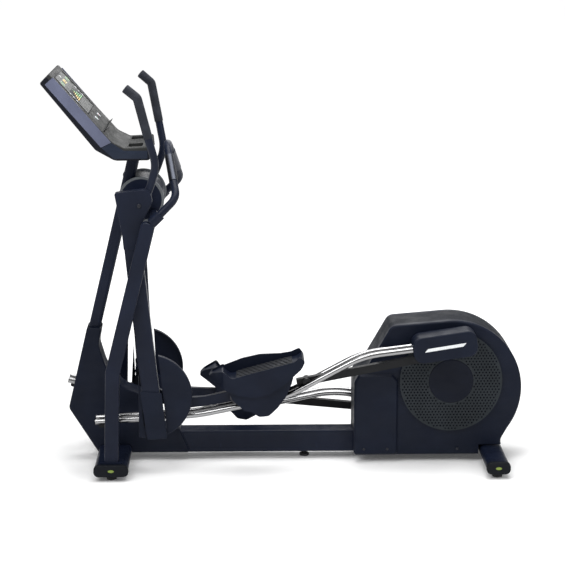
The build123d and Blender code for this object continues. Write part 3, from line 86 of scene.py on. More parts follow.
# ---------------------------------------------------------------- finishes
class Graph:
    """A material's node tree, with one short call for each node that the finishes share."""

    def __init__(self, name: str) -> None:
        """Starts a material.

        Args:
            name: The material's name.
        """
        self.material = bpy.data.materials.new(name)
        self.material.use_nodes = True
        tree = self.material.node_tree
        self.nodes = tree.nodes
        self.links = tree.links
        self.shader = self.nodes["Principled BSDF"]
        self.place = self.nodes.new("ShaderNodeTexCoord").outputs["Object"]

    def set(self, **values: float | tuple) -> None:
        """Sets the shader's own sockets.

        Args:
            values: Each socket's name, with underscores for its spaces, and its value.
        """
        for name, value in values.items():
            self.shader.inputs[name.replace("_", " ")].default_value = value

    def mapped(self, scale: tuple, turn: tuple = (0, 0, 0)) -> bpy.types.NodeSocket:
        """Stretches and turns the object's coordinates.

        Args:
            scale: The stretch along each axis.
            turn: The turn about each axis, in radians.

        Returns:
            The new coordinates.
        """
        node = self.nodes.new("ShaderNodeMapping")
        self.links.new(self.place, node.inputs["Vector"])
        node.inputs["Scale"].default_value = scale
        node.inputs["Rotation"].default_value = turn
        return node.outputs["Vector"]

    def noise(
        self,
        scale: float,
        detail: float = 3.0,
        where: bpy.types.NodeSocket | None = None,
    ) -> bpy.types.NodeSocket:
        """Adds a noise pattern.

        Args:
            scale: Its features per metre, roughly.
            detail: How many finer layers it has.
            where: Its coordinates, or None for the object's own.

        Returns:
            The pattern, about 0.3 to 0.7.
        """
        node = self.nodes.new("ShaderNodeTexNoise")
        self.links.new(where or self.place, node.inputs["Vector"])
        node.inputs["Scale"].default_value = scale
        node.inputs["Detail"].default_value = detail
        return node.outputs["Fac"]

    def cells(
        self, scale: float, where: bpy.types.NodeSocket | None = None
    ) -> bpy.types.NodeSocket:
        """Adds a pattern of cells.

        Args:
            scale: The cells per metre.
            where: Its coordinates, or None for the object's own.

        Returns:
            The distance from each cell's middle.
        """
        node = self.nodes.new("ShaderNodeTexVoronoi")
        self.links.new(where or self.place, node.inputs["Vector"])
        node.inputs["Scale"].default_value = scale
        return node.outputs["Distance"]

    def ramp(
        self,
        source: bpy.types.NodeSocket,
        start: float,
        end: float,
        low: float,
        high: float,
    ) -> bpy.types.NodeSocket:
        """Turns one range of values into another, smoothly and held at its ends.

        Args:
            source: The values.
            start: The value that becomes low.
            end: The value that becomes high.
            low: The first result.
            high: The last result.

        Returns:
            The results.
        """
        node = self.nodes.new("ShaderNodeMapRange")
        node.interpolation_type = "SMOOTHSTEP"
        self.links.new(source, node.inputs["Value"])
        for name, value in (
            ("From Min", start),
            ("From Max", end),
            ("To Min", low),
            ("To Max", high),
        ):
            node.inputs[name].default_value = value
        return node.outputs["Result"]

    def sum(
        self,
        first: bpy.types.NodeSocket,
        second: bpy.types.NodeSocket,
        kind: str = "ADD",
    ) -> bpy.types.NodeSocket:
        """Joins two values by arithmetic.

        Args:
            first: The first value.
            second: The second value.
            kind: The Math node's operation.

        Returns:
            The result.
        """
        node = self.nodes.new("ShaderNodeMath")
        node.operation = kind
        self.links.new(first, node.inputs[0])
        self.links.new(second, node.inputs[1])
        return node.outputs[0]

    def axis(self, name: str) -> bpy.types.NodeSocket:
        """One of the object's coordinates.

        Args:
            name: X, Y or Z.

        Returns:
            That coordinate, in metres.
        """
        node = self.nodes.new("ShaderNodeSeparateXYZ")
        self.links.new(self.place, node.inputs[0])
        return node.outputs[name]

    def mix(
        self,
        factor: bpy.types.NodeSocket,
        first: Colour | bpy.types.NodeSocket,
        second: Colour,
    ) -> bpy.types.NodeSocket:
        """Mixes two colours.

        Args:
            factor: How much of the second shows.
            first: A colour, or a colour socket.
            second: The other colour.

        Returns:
            The mixed colour.
        """
        node = self.nodes.new("ShaderNodeMix")
        node.data_type = "RGBA"
        self.links.new(factor, node.inputs["Factor"])
        slots = [socket for socket in node.inputs if socket.type == "RGBA"]
        if isinstance(first, tuple):
            slots[0].default_value = (*first, 1)
        else:
            self.links.new(first, slots[0])
        slots[1].default_value = (*second, 1)
        return next(socket for socket in node.outputs if socket.type == "RGBA")

    def bump(
        self,
        height: bpy.types.NodeSocket,
        depth: float,
        under: bpy.types.NodeSocket | None = None,
    ) -> bpy.types.NodeSocket:
        """Raises the surface by a pattern.

        Args:
            height: The pattern.
            depth: How deep it is, in metres.
            under: A bump that lies under this one, or None.

        Returns:
            The surface's new normal.
        """
        node = self.nodes.new("ShaderNodeBump")
        self.links.new(height, node.inputs["Height"])
        node.inputs["Distance"].default_value = depth
        if under is not None:
            self.links.new(under, node.inputs["Normal"])
        return node.outputs["Normal"]

    def reach(self, where: bpy.types.NodeSocket | None = None) -> bpy.types.NodeSocket:
        """The distance from the origin of some coordinates.

        Args:
            where: The coordinates, or None for the object's own.

        Returns:
            The distance, in metres.
        """
        node = self.nodes.new("ShaderNodeVectorMath")
        node.operation = "LENGTH"
        self.links.new(where or self.place, node.inputs[0])
        return node.outputs["Value"]

    def drive(self, socket: str, source: bpy.types.NodeSocket) -> None:
        """Links a pattern to one of the shader's sockets.

        Args:
            socket: The socket's name.
            source: The pattern.
        """
        self.links.new(source, self.shader.inputs[socket])


def shade(colour: Colour, by: float) -> Colour:
    """A colour made lighter or darker by a factor."""
    return tuple(min(1.0, part * by) for part in colour)


@dataclass(frozen=True)
class Finish:
    """A finish that a piece can be dressed in.

    Attributes:
        name: The material's name.
        colour: Its main colour, linear.
        roughness: Its middle roughness.
    """

    name: str
    colour: Colour
    roughness: float

    def make(self) -> bpy.types.Material:
        """Builds the material, or gives the one built before."""
        known = bpy.data.materials.get(self.name)
        if known is not None:
            return known
        graph = Graph(self.name)
        self.dress(graph)
        return graph.material

    def dress(self, graph: Graph) -> None:
        """Fills the material's node tree.

        Args:
            graph: The tree.
        """
        raise NotImplementedError


@dataclass(frozen=True)
class PowderCoat(Finish):
    """Baked powder paint: orange peel, slow colour drift, and rubbed patches."""

    def dress(self, graph: Graph) -> None:
        """Fills the material's node tree."""
        drift = graph.ramp(graph.noise(5.0, 2.0), 0.35, 0.65, 0.0, 1.0)
        body = graph.mix(drift, shade(self.colour, 0.88), shade(self.colour, 1.16))
        rubs = graph.noise(46.0, 6.0, graph.mapped((1.0, 1.0, 0.35)))
        rubbed = graph.ramp(rubs, 0.66, 0.78, 0.0, 0.5)
        graph.drive("Base Color", graph.mix(rubbed, body, shade(self.colour, 2.4)))
        graph.drive(
            "Roughness",
            graph.ramp(
                graph.noise(24.0, 5.0), 0.3, 0.7, self.roughness - 0.06, self.roughness + 0.09
            ),
        )
        peel = graph.bump(graph.noise(620.0, 1.0), 0.00035)
        graph.drive("Normal", graph.bump(graph.noise(2400.0, 2.0), 0.00006, peel))
        graph.set(Specular_IOR_Level=0.13, Coat_Weight=0.03, Coat_Roughness=0.2)


@dataclass(frozen=True)
class MouldedPlastic(Finish):
    """Moulded plastic: a fine spark-eroded grain with dull and polished areas.

    Attributes:
        grain: How deep the grain is, in metres.
    """

    grain: float = 0.00012

    def dress(self, graph: Graph) -> None:
        """Fills the material's node tree."""
        drift = graph.ramp(graph.noise(7.0, 3.0), 0.35, 0.65, 0.0, 1.0)
        body = graph.mix(drift, shade(self.colour, 0.9), shade(self.colour, 1.12))
        fleck = graph.ramp(graph.noise(900.0, 2.0), 0.58, 0.75, 0.0, 0.35)
        graph.drive("Base Color", graph.mix(fleck, body, shade(self.colour, 1.9)))
        wipe = graph.noise(12.0, 4.0, graph.mapped((1.0, 1.0, 2.6), (0.0, 0.5, 0.0)))
        graph.drive(
            "Roughness", graph.ramp(wipe, 0.3, 0.7, self.roughness - 0.05, self.roughness + 0.1)
        )
        coarse = graph.bump(graph.cells(1300.0), self.grain)
        graph.drive("Normal", graph.bump(graph.noise(3200.0, 2.0), self.grain * 0.4, coarse))
        graph.set(Specular_IOR_Level=0.13)


@dataclass(frozen=True)
class DrumPaint(PowderCoat):
    """The pivot drum: painted, with the outer band of each end rim left pale.

    Attributes:
        rim: The rims' colour.
        band: The radius that the pale band starts at, in metres.
        edge: How far from the middle the rims start, in metres.
        fade: The width that the paint's edge is softened over, in metres.
    """

    rim: Colour = (0.13, 0.14, 0.15)
    band: float = 0.089
    edge: float = 0.108
    fade: float = 0.0006

    def dress(self, graph: Graph) -> None:
        """Fills the material's node tree."""
        PowderCoat.dress(self, graph)
        painted = graph.shader.inputs["Base Color"].links[0].from_socket
        centre = middle("pivot_axle")
        across = graph.nodes.new("ShaderNodeVectorMath")
        across.operation = "MULTIPLY_ADD"
        graph.links.new(graph.place, across.inputs[0])
        across.inputs[1].default_value = (1, 0, 1)
        across.inputs[2].default_value = (-centre.x, 0, -centre.z)
        width = graph.nodes.new("ShaderNodeMath")
        width.operation = "ABSOLUTE"
        graph.links.new(graph.axis("Y"), width.inputs[0])
        ends = graph.ramp(width.outputs[0], self.edge, self.edge + self.fade, 0.0, 1.0)
        away = graph.reach(across.outputs[0])
        outer = graph.ramp(away, self.band, self.band + self.fade, 0.0, 1.0)
        pale = graph.sum(ends, outer, "MULTIPLY")
        graph.drive("Base Color", graph.mix(pale, painted, self.rim))


@dataclass(frozen=True)
class PlatedTube(Finish):
    """Bright chrome plate with hairline scratches and a little dust."""

    def dress(self, graph: Graph) -> None:
        """Fills the material's node tree."""
        dust = graph.ramp(graph.noise(30.0, 5.0), 0.45, 0.8, 0.0, 0.35)
        graph.drive("Base Color", graph.mix(dust, self.colour, shade(self.colour, 0.72)))
        hair = graph.noise(420.0, 4.0, graph.mapped((0.05, 1.0, 0.4)))
        graph.drive(
            "Roughness", graph.ramp(hair, 0.35, 0.75, self.roughness, self.roughness + 0.16)
        )
        graph.drive("Normal", graph.bump(hair, 0.00002))
        graph.set(Metallic=1.0)


@dataclass(frozen=True)
class BrushedMetal(Finish):
    """Brushed or turned metal.

    Attributes:
        along: The stretch of the brush marks along X, Y and Z.
    """

    along: tuple[float, float, float] = (1.0, 0.04, 1.0)

    def dress(self, graph: Graph) -> None:
        """Fills the material's node tree."""
        marks = graph.noise(700.0, 5.0, graph.mapped(self.along))
        graph.drive(
            "Base Color",
            graph.mix(marks, shade(self.colour, 0.8), shade(self.colour, 1.15)),
        )
        graph.drive(
            "Roughness", graph.ramp(marks, 0.3, 0.7, self.roughness - 0.08, self.roughness + 0.12)
        )
        graph.drive("Normal", graph.bump(marks, 0.00005))
        graph.set(Metallic=1.0)


@dataclass(frozen=True)
class CastMetal(Finish):
    """Sand-cast iron: lumpy, pitted and dark in its pits."""

    def dress(self, graph: Graph) -> None:
        """Fills the material's node tree."""
        pits = graph.ramp(graph.cells(380.0), 0.05, 0.5, 0.0, 1.0)
        graph.drive("Base Color", graph.mix(pits, shade(self.colour, 0.45), self.colour))
        graph.drive(
            "Roughness", graph.ramp(graph.noise(60.0, 4.0), 0.3, 0.7, self.roughness, 0.8)
        )
        lumps = graph.bump(graph.noise(160.0, 4.0), 0.0006)
        graph.drive("Normal", graph.bump(pits, 0.0003, lumps))
        graph.set(Metallic=0.85)


@dataclass(frozen=True)
class MouldedRubber(Finish):
    """Matt rubber: a fine pebble, a grey bloom and dust in its hollows.

    Attributes:
        pebble: The pebbles per metre.
    """

    pebble: float = 700.0

    def dress(self, graph: Graph) -> None:
        """Fills the material's node tree."""
        bloom = graph.ramp(graph.noise(18.0, 5.0), 0.4, 0.75, 0.0, 0.6)
        graph.drive("Base Color", graph.mix(bloom, self.colour, shade(self.colour, 2.2)))
        graph.drive(
            "Roughness", graph.ramp(graph.noise(40.0), 0.3, 0.7, self.roughness - 0.1, self.roughness)
        )
        pebbled = graph.bump(graph.cells(self.pebble), 0.00025)
        graph.drive("Normal", graph.bump(graph.noise(2600.0, 2.0), 0.00008, pebbled))
        graph.set(Specular_IOR_Level=0.15)


@dataclass(frozen=True)
class Laminate(Finish):
    """A circuit board: glass weave under a lacquer."""

    def dress(self, graph: Graph) -> None:
        """Fills the material's node tree."""
        weave = graph.noise(1500.0, 1.0, graph.mapped((1.0, 0.2, 1.0)))
        tracks = graph.ramp(graph.cells(140.0, graph.mapped((1.0, 3.0, 1.0))), 0.3, 0.36, 0.0, 0.5)
        green = graph.mix(weave, shade(self.colour, 0.7), shade(self.colour, 1.2))
        graph.drive("Base Color", graph.mix(tracks, green, shade(self.colour, 2.0)))
        graph.drive("Normal", graph.bump(weave, 0.00004))
        graph.set(Roughness=self.roughness, Coat_Weight=0.4)


@dataclass(frozen=True)
class PrintedGlass(Finish):
    """The tinted display window: smooth, with a faint film of finger marks."""

    def dress(self, graph: Graph) -> None:
        """Fills the material's node tree."""
        film = graph.ramp(graph.noise(26.0, 6.0), 0.45, 0.75, 0.0, 0.5)
        graph.drive("Base Color", graph.mix(film, self.colour, shade(self.colour, 1.35)))
        graph.drive("Roughness", graph.ramp(film, 0.0, 0.5, self.roughness, self.roughness + 0.2))
        graph.drive("Normal", graph.bump(graph.noise(90.0, 2.0), 0.00003))
        graph.set(Specular_IOR_Level=0.2, Coat_Weight=0.04, Coat_Roughness=0.2)


@dataclass(frozen=True)
class GlowInk(Finish):
    """Lit or printed marks on the display.

    Attributes:
        glow: How strongly they shine.
    """

    glow: float = 0.0

    def dress(self, graph: Graph) -> None:
        """Fills the material's node tree."""
        patchy = graph.ramp(graph.noise(300.0, 2.0), 0.3, 0.7, 0.0, 1.0)
        graph.drive(
            "Base Color", graph.mix(patchy, shade(self.colour, 0.85), shade(self.colour, 1.05))
        )
        graph.drive("Normal", graph.bump(graph.noise(1800.0, 1.0), 0.00004))
        graph.set(Roughness=self.roughness, Emission_Color=(*self.colour, 1), Emission_Strength=self.glow)


NAVY = (0.0058, 0.0088, 0.0205)
NAVY_PAINT = PowderCoat("navy_powder_coat", NAVY, 0.4)
NAVY_PLASTIC = MouldedPlastic("navy_moulding", (0.0046, 0.0072, 0.0165), 0.46)
HUB_PLASTIC = MouldedPlastic("hub_moulding", (0.0036, 0.0052, 0.0118), 0.5)
TOP_PLASTIC = MouldedPlastic("top_band_moulding", (0.004, 0.0058, 0.0105), 0.56)
CAP_PLASTIC = MouldedPlastic("end_cap_moulding", (0.0045, 0.0056, 0.0085), 0.5)
RING_PLASTIC = MouldedPlastic("guard_ring_moulding", (0.0185, 0.0225, 0.0265), 0.52)
CONSOLE_PLASTIC = MouldedPlastic("console_moulding", (0.024, 0.025, 0.0252), 0.55)
PANEL_PLASTIC = MouldedPlastic("console_panel_moulding", (0.105, 0.115, 0.172), 0.42, 0.00008)
SKIRT_PLASTIC = MouldedPlastic("console_skirt_moulding", (0.016, 0.022, 0.038), 0.44, 0.00008)
BACK_PLASTIC = MouldedPlastic("console_back_moulding", (0.005, 0.006, 0.0105), 0.46)
LIGHT_PLASTIC = MouldedPlastic("pale_moulding", (0.5, 0.52, 0.55), 0.4)
DRUM = DrumPaint("drum_paint", NAVY, 0.4)
CHROME = PlatedTube("chrome_plate", (0.3, 0.3, 0.304), 0.12)
STEEL = BrushedMetal("brushed_steel", (0.5, 0.5, 0.52), 0.32)
CONTACT_STEEL = BrushedMetal("contact_plate", (0.05, 0.054, 0.066), 0.36, (0.3, 1.0, 0.3))
BLACK_STEEL = BrushedMetal("blackened_steel", (0.04, 0.042, 0.05), 0.42)
IRON = CastMetal("cast_iron", (0.15, 0.15, 0.16), 0.5)
RUBBER = MouldedRubber("black_rubber", (0.012, 0.0125, 0.014), 0.78)
TREAD_RUBBER = MouldedRubber("tread_rubber", (0.014, 0.015, 0.018), 0.72, 420.0)
GRIP_RUBBER = MouldedRubber("grip_foam", (0.016, 0.018, 0.024), 0.66, 520.0)
BLACK_PAINT = PowderCoat("black_powder_coat", (0.01, 0.0105, 0.012), 0.42)
ROLLER = MouldedRubber("roller_tyre", (0.035, 0.035, 0.04), 0.5, 1200.0)
BOARD = Laminate("board_laminate", (0.02, 0.14, 0.06), 0.4)
GLASS = PrintedGlass("display_window", (0.016, 0.019, 0.0185), 0.45)
PALE_PRINT = GlowInk("pale_window_print", (0.12, 0.135, 0.12), 0.5, 0.05)
AMBER = GlowInk("amber_lamps", (0.75, 0.5, 0.12), 0.4, 0.45)
GREEN = GlowInk("green_lamps", (0.2, 0.5, 0.18), 0.4, 0.3)
WHITE_PRINT = GlowInk("white_print", (0.75, 0.77, 0.78), 0.45)
GO_PRINT = GlowInk("start_print", (0.08, 0.45, 0.14), 0.4, 0.1)
HALT_PRINT = GlowInk("stop_print", (0.6, 0.05, 0.04), 0.4, 0.1)
BADGE = GlowInk("badge_enamel", (0.2, 0.28, 0.04), 0.3)

SLOT_FINISHES = {
    "navy_paint": NAVY_PAINT,
    "navy_plastic": NAVY_PLASTIC,
    "dark_grey_plastic": CAP_PLASTIC,
    "light_grey_plastic": LIGHT_PLASTIC,
    "chrome": CHROME,
    "steel": STEEL,
    "black_rubber": RUBBER,
    "black_paint": BLACK_PAINT,
    "cast_iron": IRON,
    "ring_grey": RING_PLASTIC,
    "display": GLASS,
    "board_green": BOARD,
    "roller_polyurethane": ROLLER,
    "console_grey": CONSOLE_PLASTIC,
}
NODE_FINISHES = {
    "housing_top": TOP_PLASTIC,
    "console_back": BACK_PLASTIC,
    "hub_caps": HUB_PLASTIC,
    "pivot_housing": DRUM,
    "pulse_grips": CONTACT_STEEL,
    "handle_grip_left": GRIP_RUBBER,
    "handle_grip_right": GRIP_RUBBER,
    "pedal_tread_left": TREAD_RUBBER,
    "pedal_tread_right": TREAD_RUBBER,
}


# ---------------------------------------------------------------- shapes
def middle(node: str) -> Vector:
    """The middle of a frame node's box."""
    low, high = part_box(node)
    return (low + high) / 2


def outer_face(node: str, side: Side) -> float:
    """How far across a frame node's box reaches on one side."""
    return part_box(node)[1 if side is Side.RIGHT else 0].y


def lift(mesh: bmesh.types.BMesh, faces: list, height: float) -> None:
    """Extrudes faces straight up.

    Args:
        mesh: The mesh that they belong to.
        faces: The faces.
        height: How far they go.
    """
    raised = bmesh.ops.extrude_face_region(mesh, geom=faces)["geom"]
    lifted = [item for item in raised if isinstance(item, bmesh.types.BMVert)]
    bmesh.ops.translate(mesh, verts=lifted, vec=(0, 0, height))


def soften_top(mesh: bmesh.types.BMesh, height: float, width: float, segments: int) -> None:
    """Rounds the edges round a plate's upper side.

    Args:
        mesh: The plate.
        height: Its thickness.
        width: The width of the round.
        segments: The faces across it.
    """
    tops = [item for item in mesh.edges if all(v.co.z > height / 2 for v in item.verts)]
    bmesh.ops.bevel(
        mesh,
        geom=tops,
        offset=width,
        affect="EDGES",
        segments=segments,
        profile=0.5,
        material=-1,
    )


def slab_mesh(corners: list[Point], radius: float, thick: float, edge: float) -> bmesh.types.BMesh:
    """A flat plate with rounded corners and softened top edges.

    Args:
        corners: Its outline in X and Y, going round once.
        radius: How round its corners are.
        thick: Its thickness, up from zero.
        edge: The width of the soft edge on its upper side.

    Returns:
        The plate's mesh.
    """
    mesh = bmesh.new()
    mesh.faces.new([mesh.verts.new((x, y, 0)) for x, y in corners])
    if radius:
        bmesh.ops.bevel(
            mesh,
            geom=mesh.verts[:],
            offset=radius,
            offset_type="OFFSET",
            affect="VERTICES",
            segments=6,
            profile=0.5,
            material=-1,
        )
    lift(mesh, mesh.faces[:], thick)
    bmesh.ops.recalc_face_normals(mesh, faces=mesh.faces[:])
    if edge:
        soften_top(mesh, thick, edge, 3)
    return mesh


def box_corners(width: float, height: float, at: Point = (0, 0)) -> list[Point]:
    """The corners of a rectangle about a point."""
    x, y = at
    return [
        (x - width / 2, y - height / 2),
        (x + width / 2, y - height / 2),
        (x + width / 2, y + height / 2),
        (x - width / 2, y + height / 2),
    ]


def turned_mesh(outline: list[Point], steps: int = 32) -> bmesh.types.BMesh:
    """A round piece, turned about Z.

    Args:
        outline: Its half section, as radius and height, from the axis to the axis.
        steps: The faces round it.

    Returns:
        The piece's mesh.
    """
    mesh = bmesh.new()
    points = [mesh.verts.new((radius, 0, height)) for radius, height in outline]
    lines = [mesh.edges.new(pair) for pair in zip(points, points[1:])]
    bmesh.ops.spin(
        mesh,
        geom=points + lines,
        cent=(0, 0, 0),
        axis=(0, 0, 1),
        angle=math.tau,
        steps=steps,
        use_merge=True,
    )
    bmesh.ops.remove_doubles(mesh, verts=mesh.verts[:], dist=1e-6)
    bmesh.ops.recalc_face_normals(mesh, faces=mesh.faces[:])
    return mesh


def facing(at: Vector, outward: Vector, up: Vector) -> Matrix:
    """A placement whose Z points outward and whose Y points up.

    Args:
        at: Where its origin goes.
        outward: The direction of its Z.
        up: The direction of its Y, roughly.

    Returns:
        The placement.
    """
    z = outward.normalized()
    x = up.cross(z).normalized()
    y = z.cross(x)
    turn = Matrix((x, y, z)).transposed().to_4x4()
    return Matrix.Translation(at) @ turn


def sideways(at: Vector, side: Side) -> Matrix:
    """A placement on one side of the machine, with Z outward and Y up."""
    return facing(at, Vector((0, side.value, 0)), Vector((0, 0, 1)))


def join(meshes: list[bmesh.types.BMesh]) -> bmesh.types.BMesh:
    """Puts several meshes into one.

    Args:
        meshes: The meshes, which are used up.

    Returns:
        The one mesh.
    """
    whole = bmesh.new()
    for part in meshes:
        kept = bpy.data.meshes.new("joined_part")
        part.to_mesh(kept)
        part.free()
        whole.from_mesh(kept)
        bpy.data.meshes.remove(kept)
    return whole


def piece(
    name: str,
    mesh: bmesh.types.BMesh,
    place: Matrix,
    finish: Finish,
    body: str,
) -> bpy.types.Object:
    """Makes a finished piece that rides on a body.

    Args:
        name: The piece's name.
        mesh: Its shape, which is used up.
        place: Where the shape goes; the object itself stays at the origin.
        finish: What it is dressed in.
        body: The body that it moves with.

    Returns:
        The piece.
    """
    bmesh.ops.transform(mesh, matrix=place, verts=mesh.verts[:])
    data = bpy.data.meshes.new(name)
    mesh.to_mesh(data)
    mesh.free()
    for face in data.polygons:
        face.use_smooth = True
    data.set_sharp_from_angle(angle=math.radians(32))
    data.materials.append(finish.make())
    made = bpy.data.objects.new(name, data)
    bpy.context.scene.collection.objects.link(made)
    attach(made, body)
    log.info("%s: %d faces on %s", name, len(data.polygons), body)
    return made


# ---------------------------------------------------------------- sub-assemblies
@dataclass
class GuardRings:
    """The two perforated guard rings that turn with the cranks.

    Attributes:
        boss: The radius of the notch round the crank pin.
        pitch: The distance between neighbouring holes.
        hole: A hole's radius.
        margin: The plain band left at each edge.
        throw: How far the crank pin is from the crank's axle.
        thick: The rings' thickness.
    """

    boss: float = 0.03
    pitch: float = 0.0148
    hole: float = 0.0041
    margin: float = 0.0075
    throw: float = 0.206
    thick: float = 0.003

    def build(self) -> None:
        """Makes both rings and lets them stand for the plain ones."""
        low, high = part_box("crank_rings")
        hub = (low + high) / 2
        outer = (high.x - low.x) / 2
        caps_low, caps_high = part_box("hub_caps")
        inner = (caps_high.x - caps_low.x) / 2
        for side in Side:
            pin = middle(f"crank_cover_{side.label}") - hub
            pin_at = Vector((pin.x, pin.z, 0)).normalized() * self.throw
            mesh = self.sheet(outer, inner, pin_at)
            face = outer_face("crank_rings", side)
            place = Matrix.Translation((hub.x, face, hub.z)) @ Matrix.Rotation(math.pi / 2, 4, "X")
            if side is Side.LEFT:
                place = place @ Matrix.Translation((0, 0, -self.thick))
            ring = piece(
                f"guard_ring_{side.label}", mesh, place, RING_PLASTIC, "crank_set"
            )
            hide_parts("crank_rings")

    def sheet(self, outer: float, inner: float, pin: Vector) -> bmesh.types.BMesh:
        """One ring, lying flat.

        Args:
            outer: Its outer radius.
            inner: Its inner radius.
            pin: The crank pin's place from the ring's middle.

        Returns:
            The ring's mesh.
        """
        mesh = bmesh.new()
        rim = self.loop(mesh, outer, Vector(), 120)
        notch = self.loop(mesh, self.boss, pin, 36)
        gone = [v for v in rim if (v.co - pin).length < self.boss]
        gone += [v for v in notch if v.co.length > outer]
        bmesh.ops.delete(mesh, geom=gone, context="VERTS")
        ends = [v for v in mesh.verts if len(v.link_edges) == 1]
        on_rim = [v for v in ends if v.co.length > outer - 1e-5]
        on_notch = [v for v in ends if v not in on_rim]
        for end in on_rim:
            mesh.edges.new((end, min(on_notch, key=lambda v: (v.co - end.co).length)))
        self.loop(mesh, inner + 0.0005, Vector(), 72)
        rows = int(outer / self.pitch) + 2
        for row in range(-rows, rows + 1):
            for column in range(-rows, rows + 1):
                spot = Vector(
                    (
                        (column + 0.5 * (row % 2)) * self.pitch,
                        row * self.pitch * math.sqrt(0.75),
                        0,
                    )
                )
                clear = inner + self.margin < spot.length < outer - self.margin
                if clear and (spot - pin).length > self.boss + self.margin:
                    self.loop(mesh, self.hole, spot, 10)
        bmesh.ops.triangle_fill(mesh, use_beauty=True, use_dissolve=False, edges=mesh.edges[:])
        lift(mesh, mesh.faces[:], self.thick)
        bmesh.ops.recalc_face_normals(mesh, faces=mesh.faces[:])
        return mesh

    @staticmethod
    def loop(mesh: bmesh.types.BMesh, radius: float, at: Vector, steps: int) -> list:
        """Adds an empty circle and gives its vertices."""
        made = bmesh.ops.create_circle(
            mesh, cap_ends=False, segments=steps, radius=radius, matrix=Matrix.Translation(at)
        )
        return made["verts"]


@dataclass
class CapBadges:
    """A plain oval enamel badge in the recess of each end cap.

    Attributes:
        length: Its length.
        height: Its height.
        dome: How far its middle stands up.
        sunk: How far its foot lies inside the cap's outermost face.
    """

    length: float = 0.027
    height: float = 0.0135
    dome: float = 0.0014
    sunk: float = 0.0015

    def build(self) -> None:
        """Makes the four badges."""
        for node, where in (("front_stabiliser", "front"), ("rear_stabiliser", "rear")):
            spot = middle(node)
            for side in Side:
                face = outer_face("stabiliser_caps", side)
                dome = turned_mesh(
                    [(0, self.dome), (0.3, self.dome * 0.9), (0.44, self.dome * 0.55), (0.5, 0)]
                )
                oval = Matrix.Diagonal((self.length, self.height, 1, 1))
                at = Vector((spot.x, face - side.value * self.sunk, spot.z))
                piece(
                    f"cap_badge_{where}_{side.label}",
                    dome,
                    sideways(at, side) @ oval,
                    BADGE,
                    "frame",
                )


@dataclass
class CrankCoverInlay:
    """A plain pale strip let into each crank cover's outer face.

    Attributes:
        length: Its length.
        height: Its height.
        lean: How far its ends lean over.
    """

    length: float = 0.17
    height: float = 0.014
    lean: float = 0.008

    def build(self) -> None:
        """Makes both strips."""
        for side in Side:
            cover = f"crank_cover_{side.label}"
            spot = middle(cover)
            run = self.direction(side)
            face = outer_face(cover, side)
            outward = Vector((0, side.value, 0))
            up = outward.cross(run) * (-1 if side is Side.LEFT else 1)
            if up.z < 0:
                up = -up
            half = self.length / 2
            corners = [
                (-half - self.lean, -self.height / 2),
                (half - self.lean, -self.height / 2),
                (half + self.lean, self.height / 2),
                (-half + self.lean, self.height / 2),
            ]
            at = Vector((spot.x, face - side.value * 0.0002, spot.z))
            piece(
                f"cover_inlay_{side.label}",
                slab_mesh(corners, 0.003, 0.0008, 0.0003),
                facing(at, outward, up),
                WHITE_PRINT,
                f"rails_{side.label}",
            )

    @staticmethod
    def direction(side: Side) -> Vector:
        """The way along a crank cover, from its own mesh's far ends.

        Args:
            side: Which cover.

        Returns:
            A unit vector in the X and Z plane.
        """
        spots = [v.co for v in frame["nodes"][f"crank_cover_{side.label}"].data.vertices]
        mean = sum(spots, Vector()) / len(spots)
        xx = sum((v.x - mean.x) ** 2 for v in spots)
        zz = sum((v.z - mean.z) ** 2 for v in spots)
        xz = sum((v.x - mean.x) * (v.z - mean.z) for v in spots)
        angle = 0.5 * math.atan2(2 * xz, xx - zz)
        return Vector((math.cos(angle), 0, math.sin(angle)))


class Lamp(Enum):
    """The segments of a numeric readout's figure: where each is and which way it lies."""

    TOP = (0.0, 1.0, True)
    MIDDLE = (0.0, 0.0, True)
    BOTTOM = (0.0, -1.0, True)
    HIGH_LEFT = (-0.5, 0.5, False)
    HIGH_RIGHT = (0.5, 0.5, False)
    LOW_LEFT = (-0.5, -0.5, False)
    LOW_RIGHT = (0.5, -0.5, False)


FIGURES = {
    0: tuple(lamp for lamp in Lamp if lamp is not Lamp.MIDDLE),
    1: (Lamp.HIGH_RIGHT, Lamp.LOW_RIGHT),
    2: (Lamp.TOP, Lamp.HIGH_RIGHT, Lamp.MIDDLE, Lamp.LOW_LEFT, Lamp.BOTTOM),
    3: (Lamp.TOP, Lamp.HIGH_RIGHT, Lamp.MIDDLE, Lamp.LOW_RIGHT, Lamp.BOTTOM),
    5: (Lamp.TOP, Lamp.HIGH_LEFT, Lamp.MIDDLE, Lamp.LOW_RIGHT, Lamp.BOTTOM),
    8: tuple(Lamp),
}


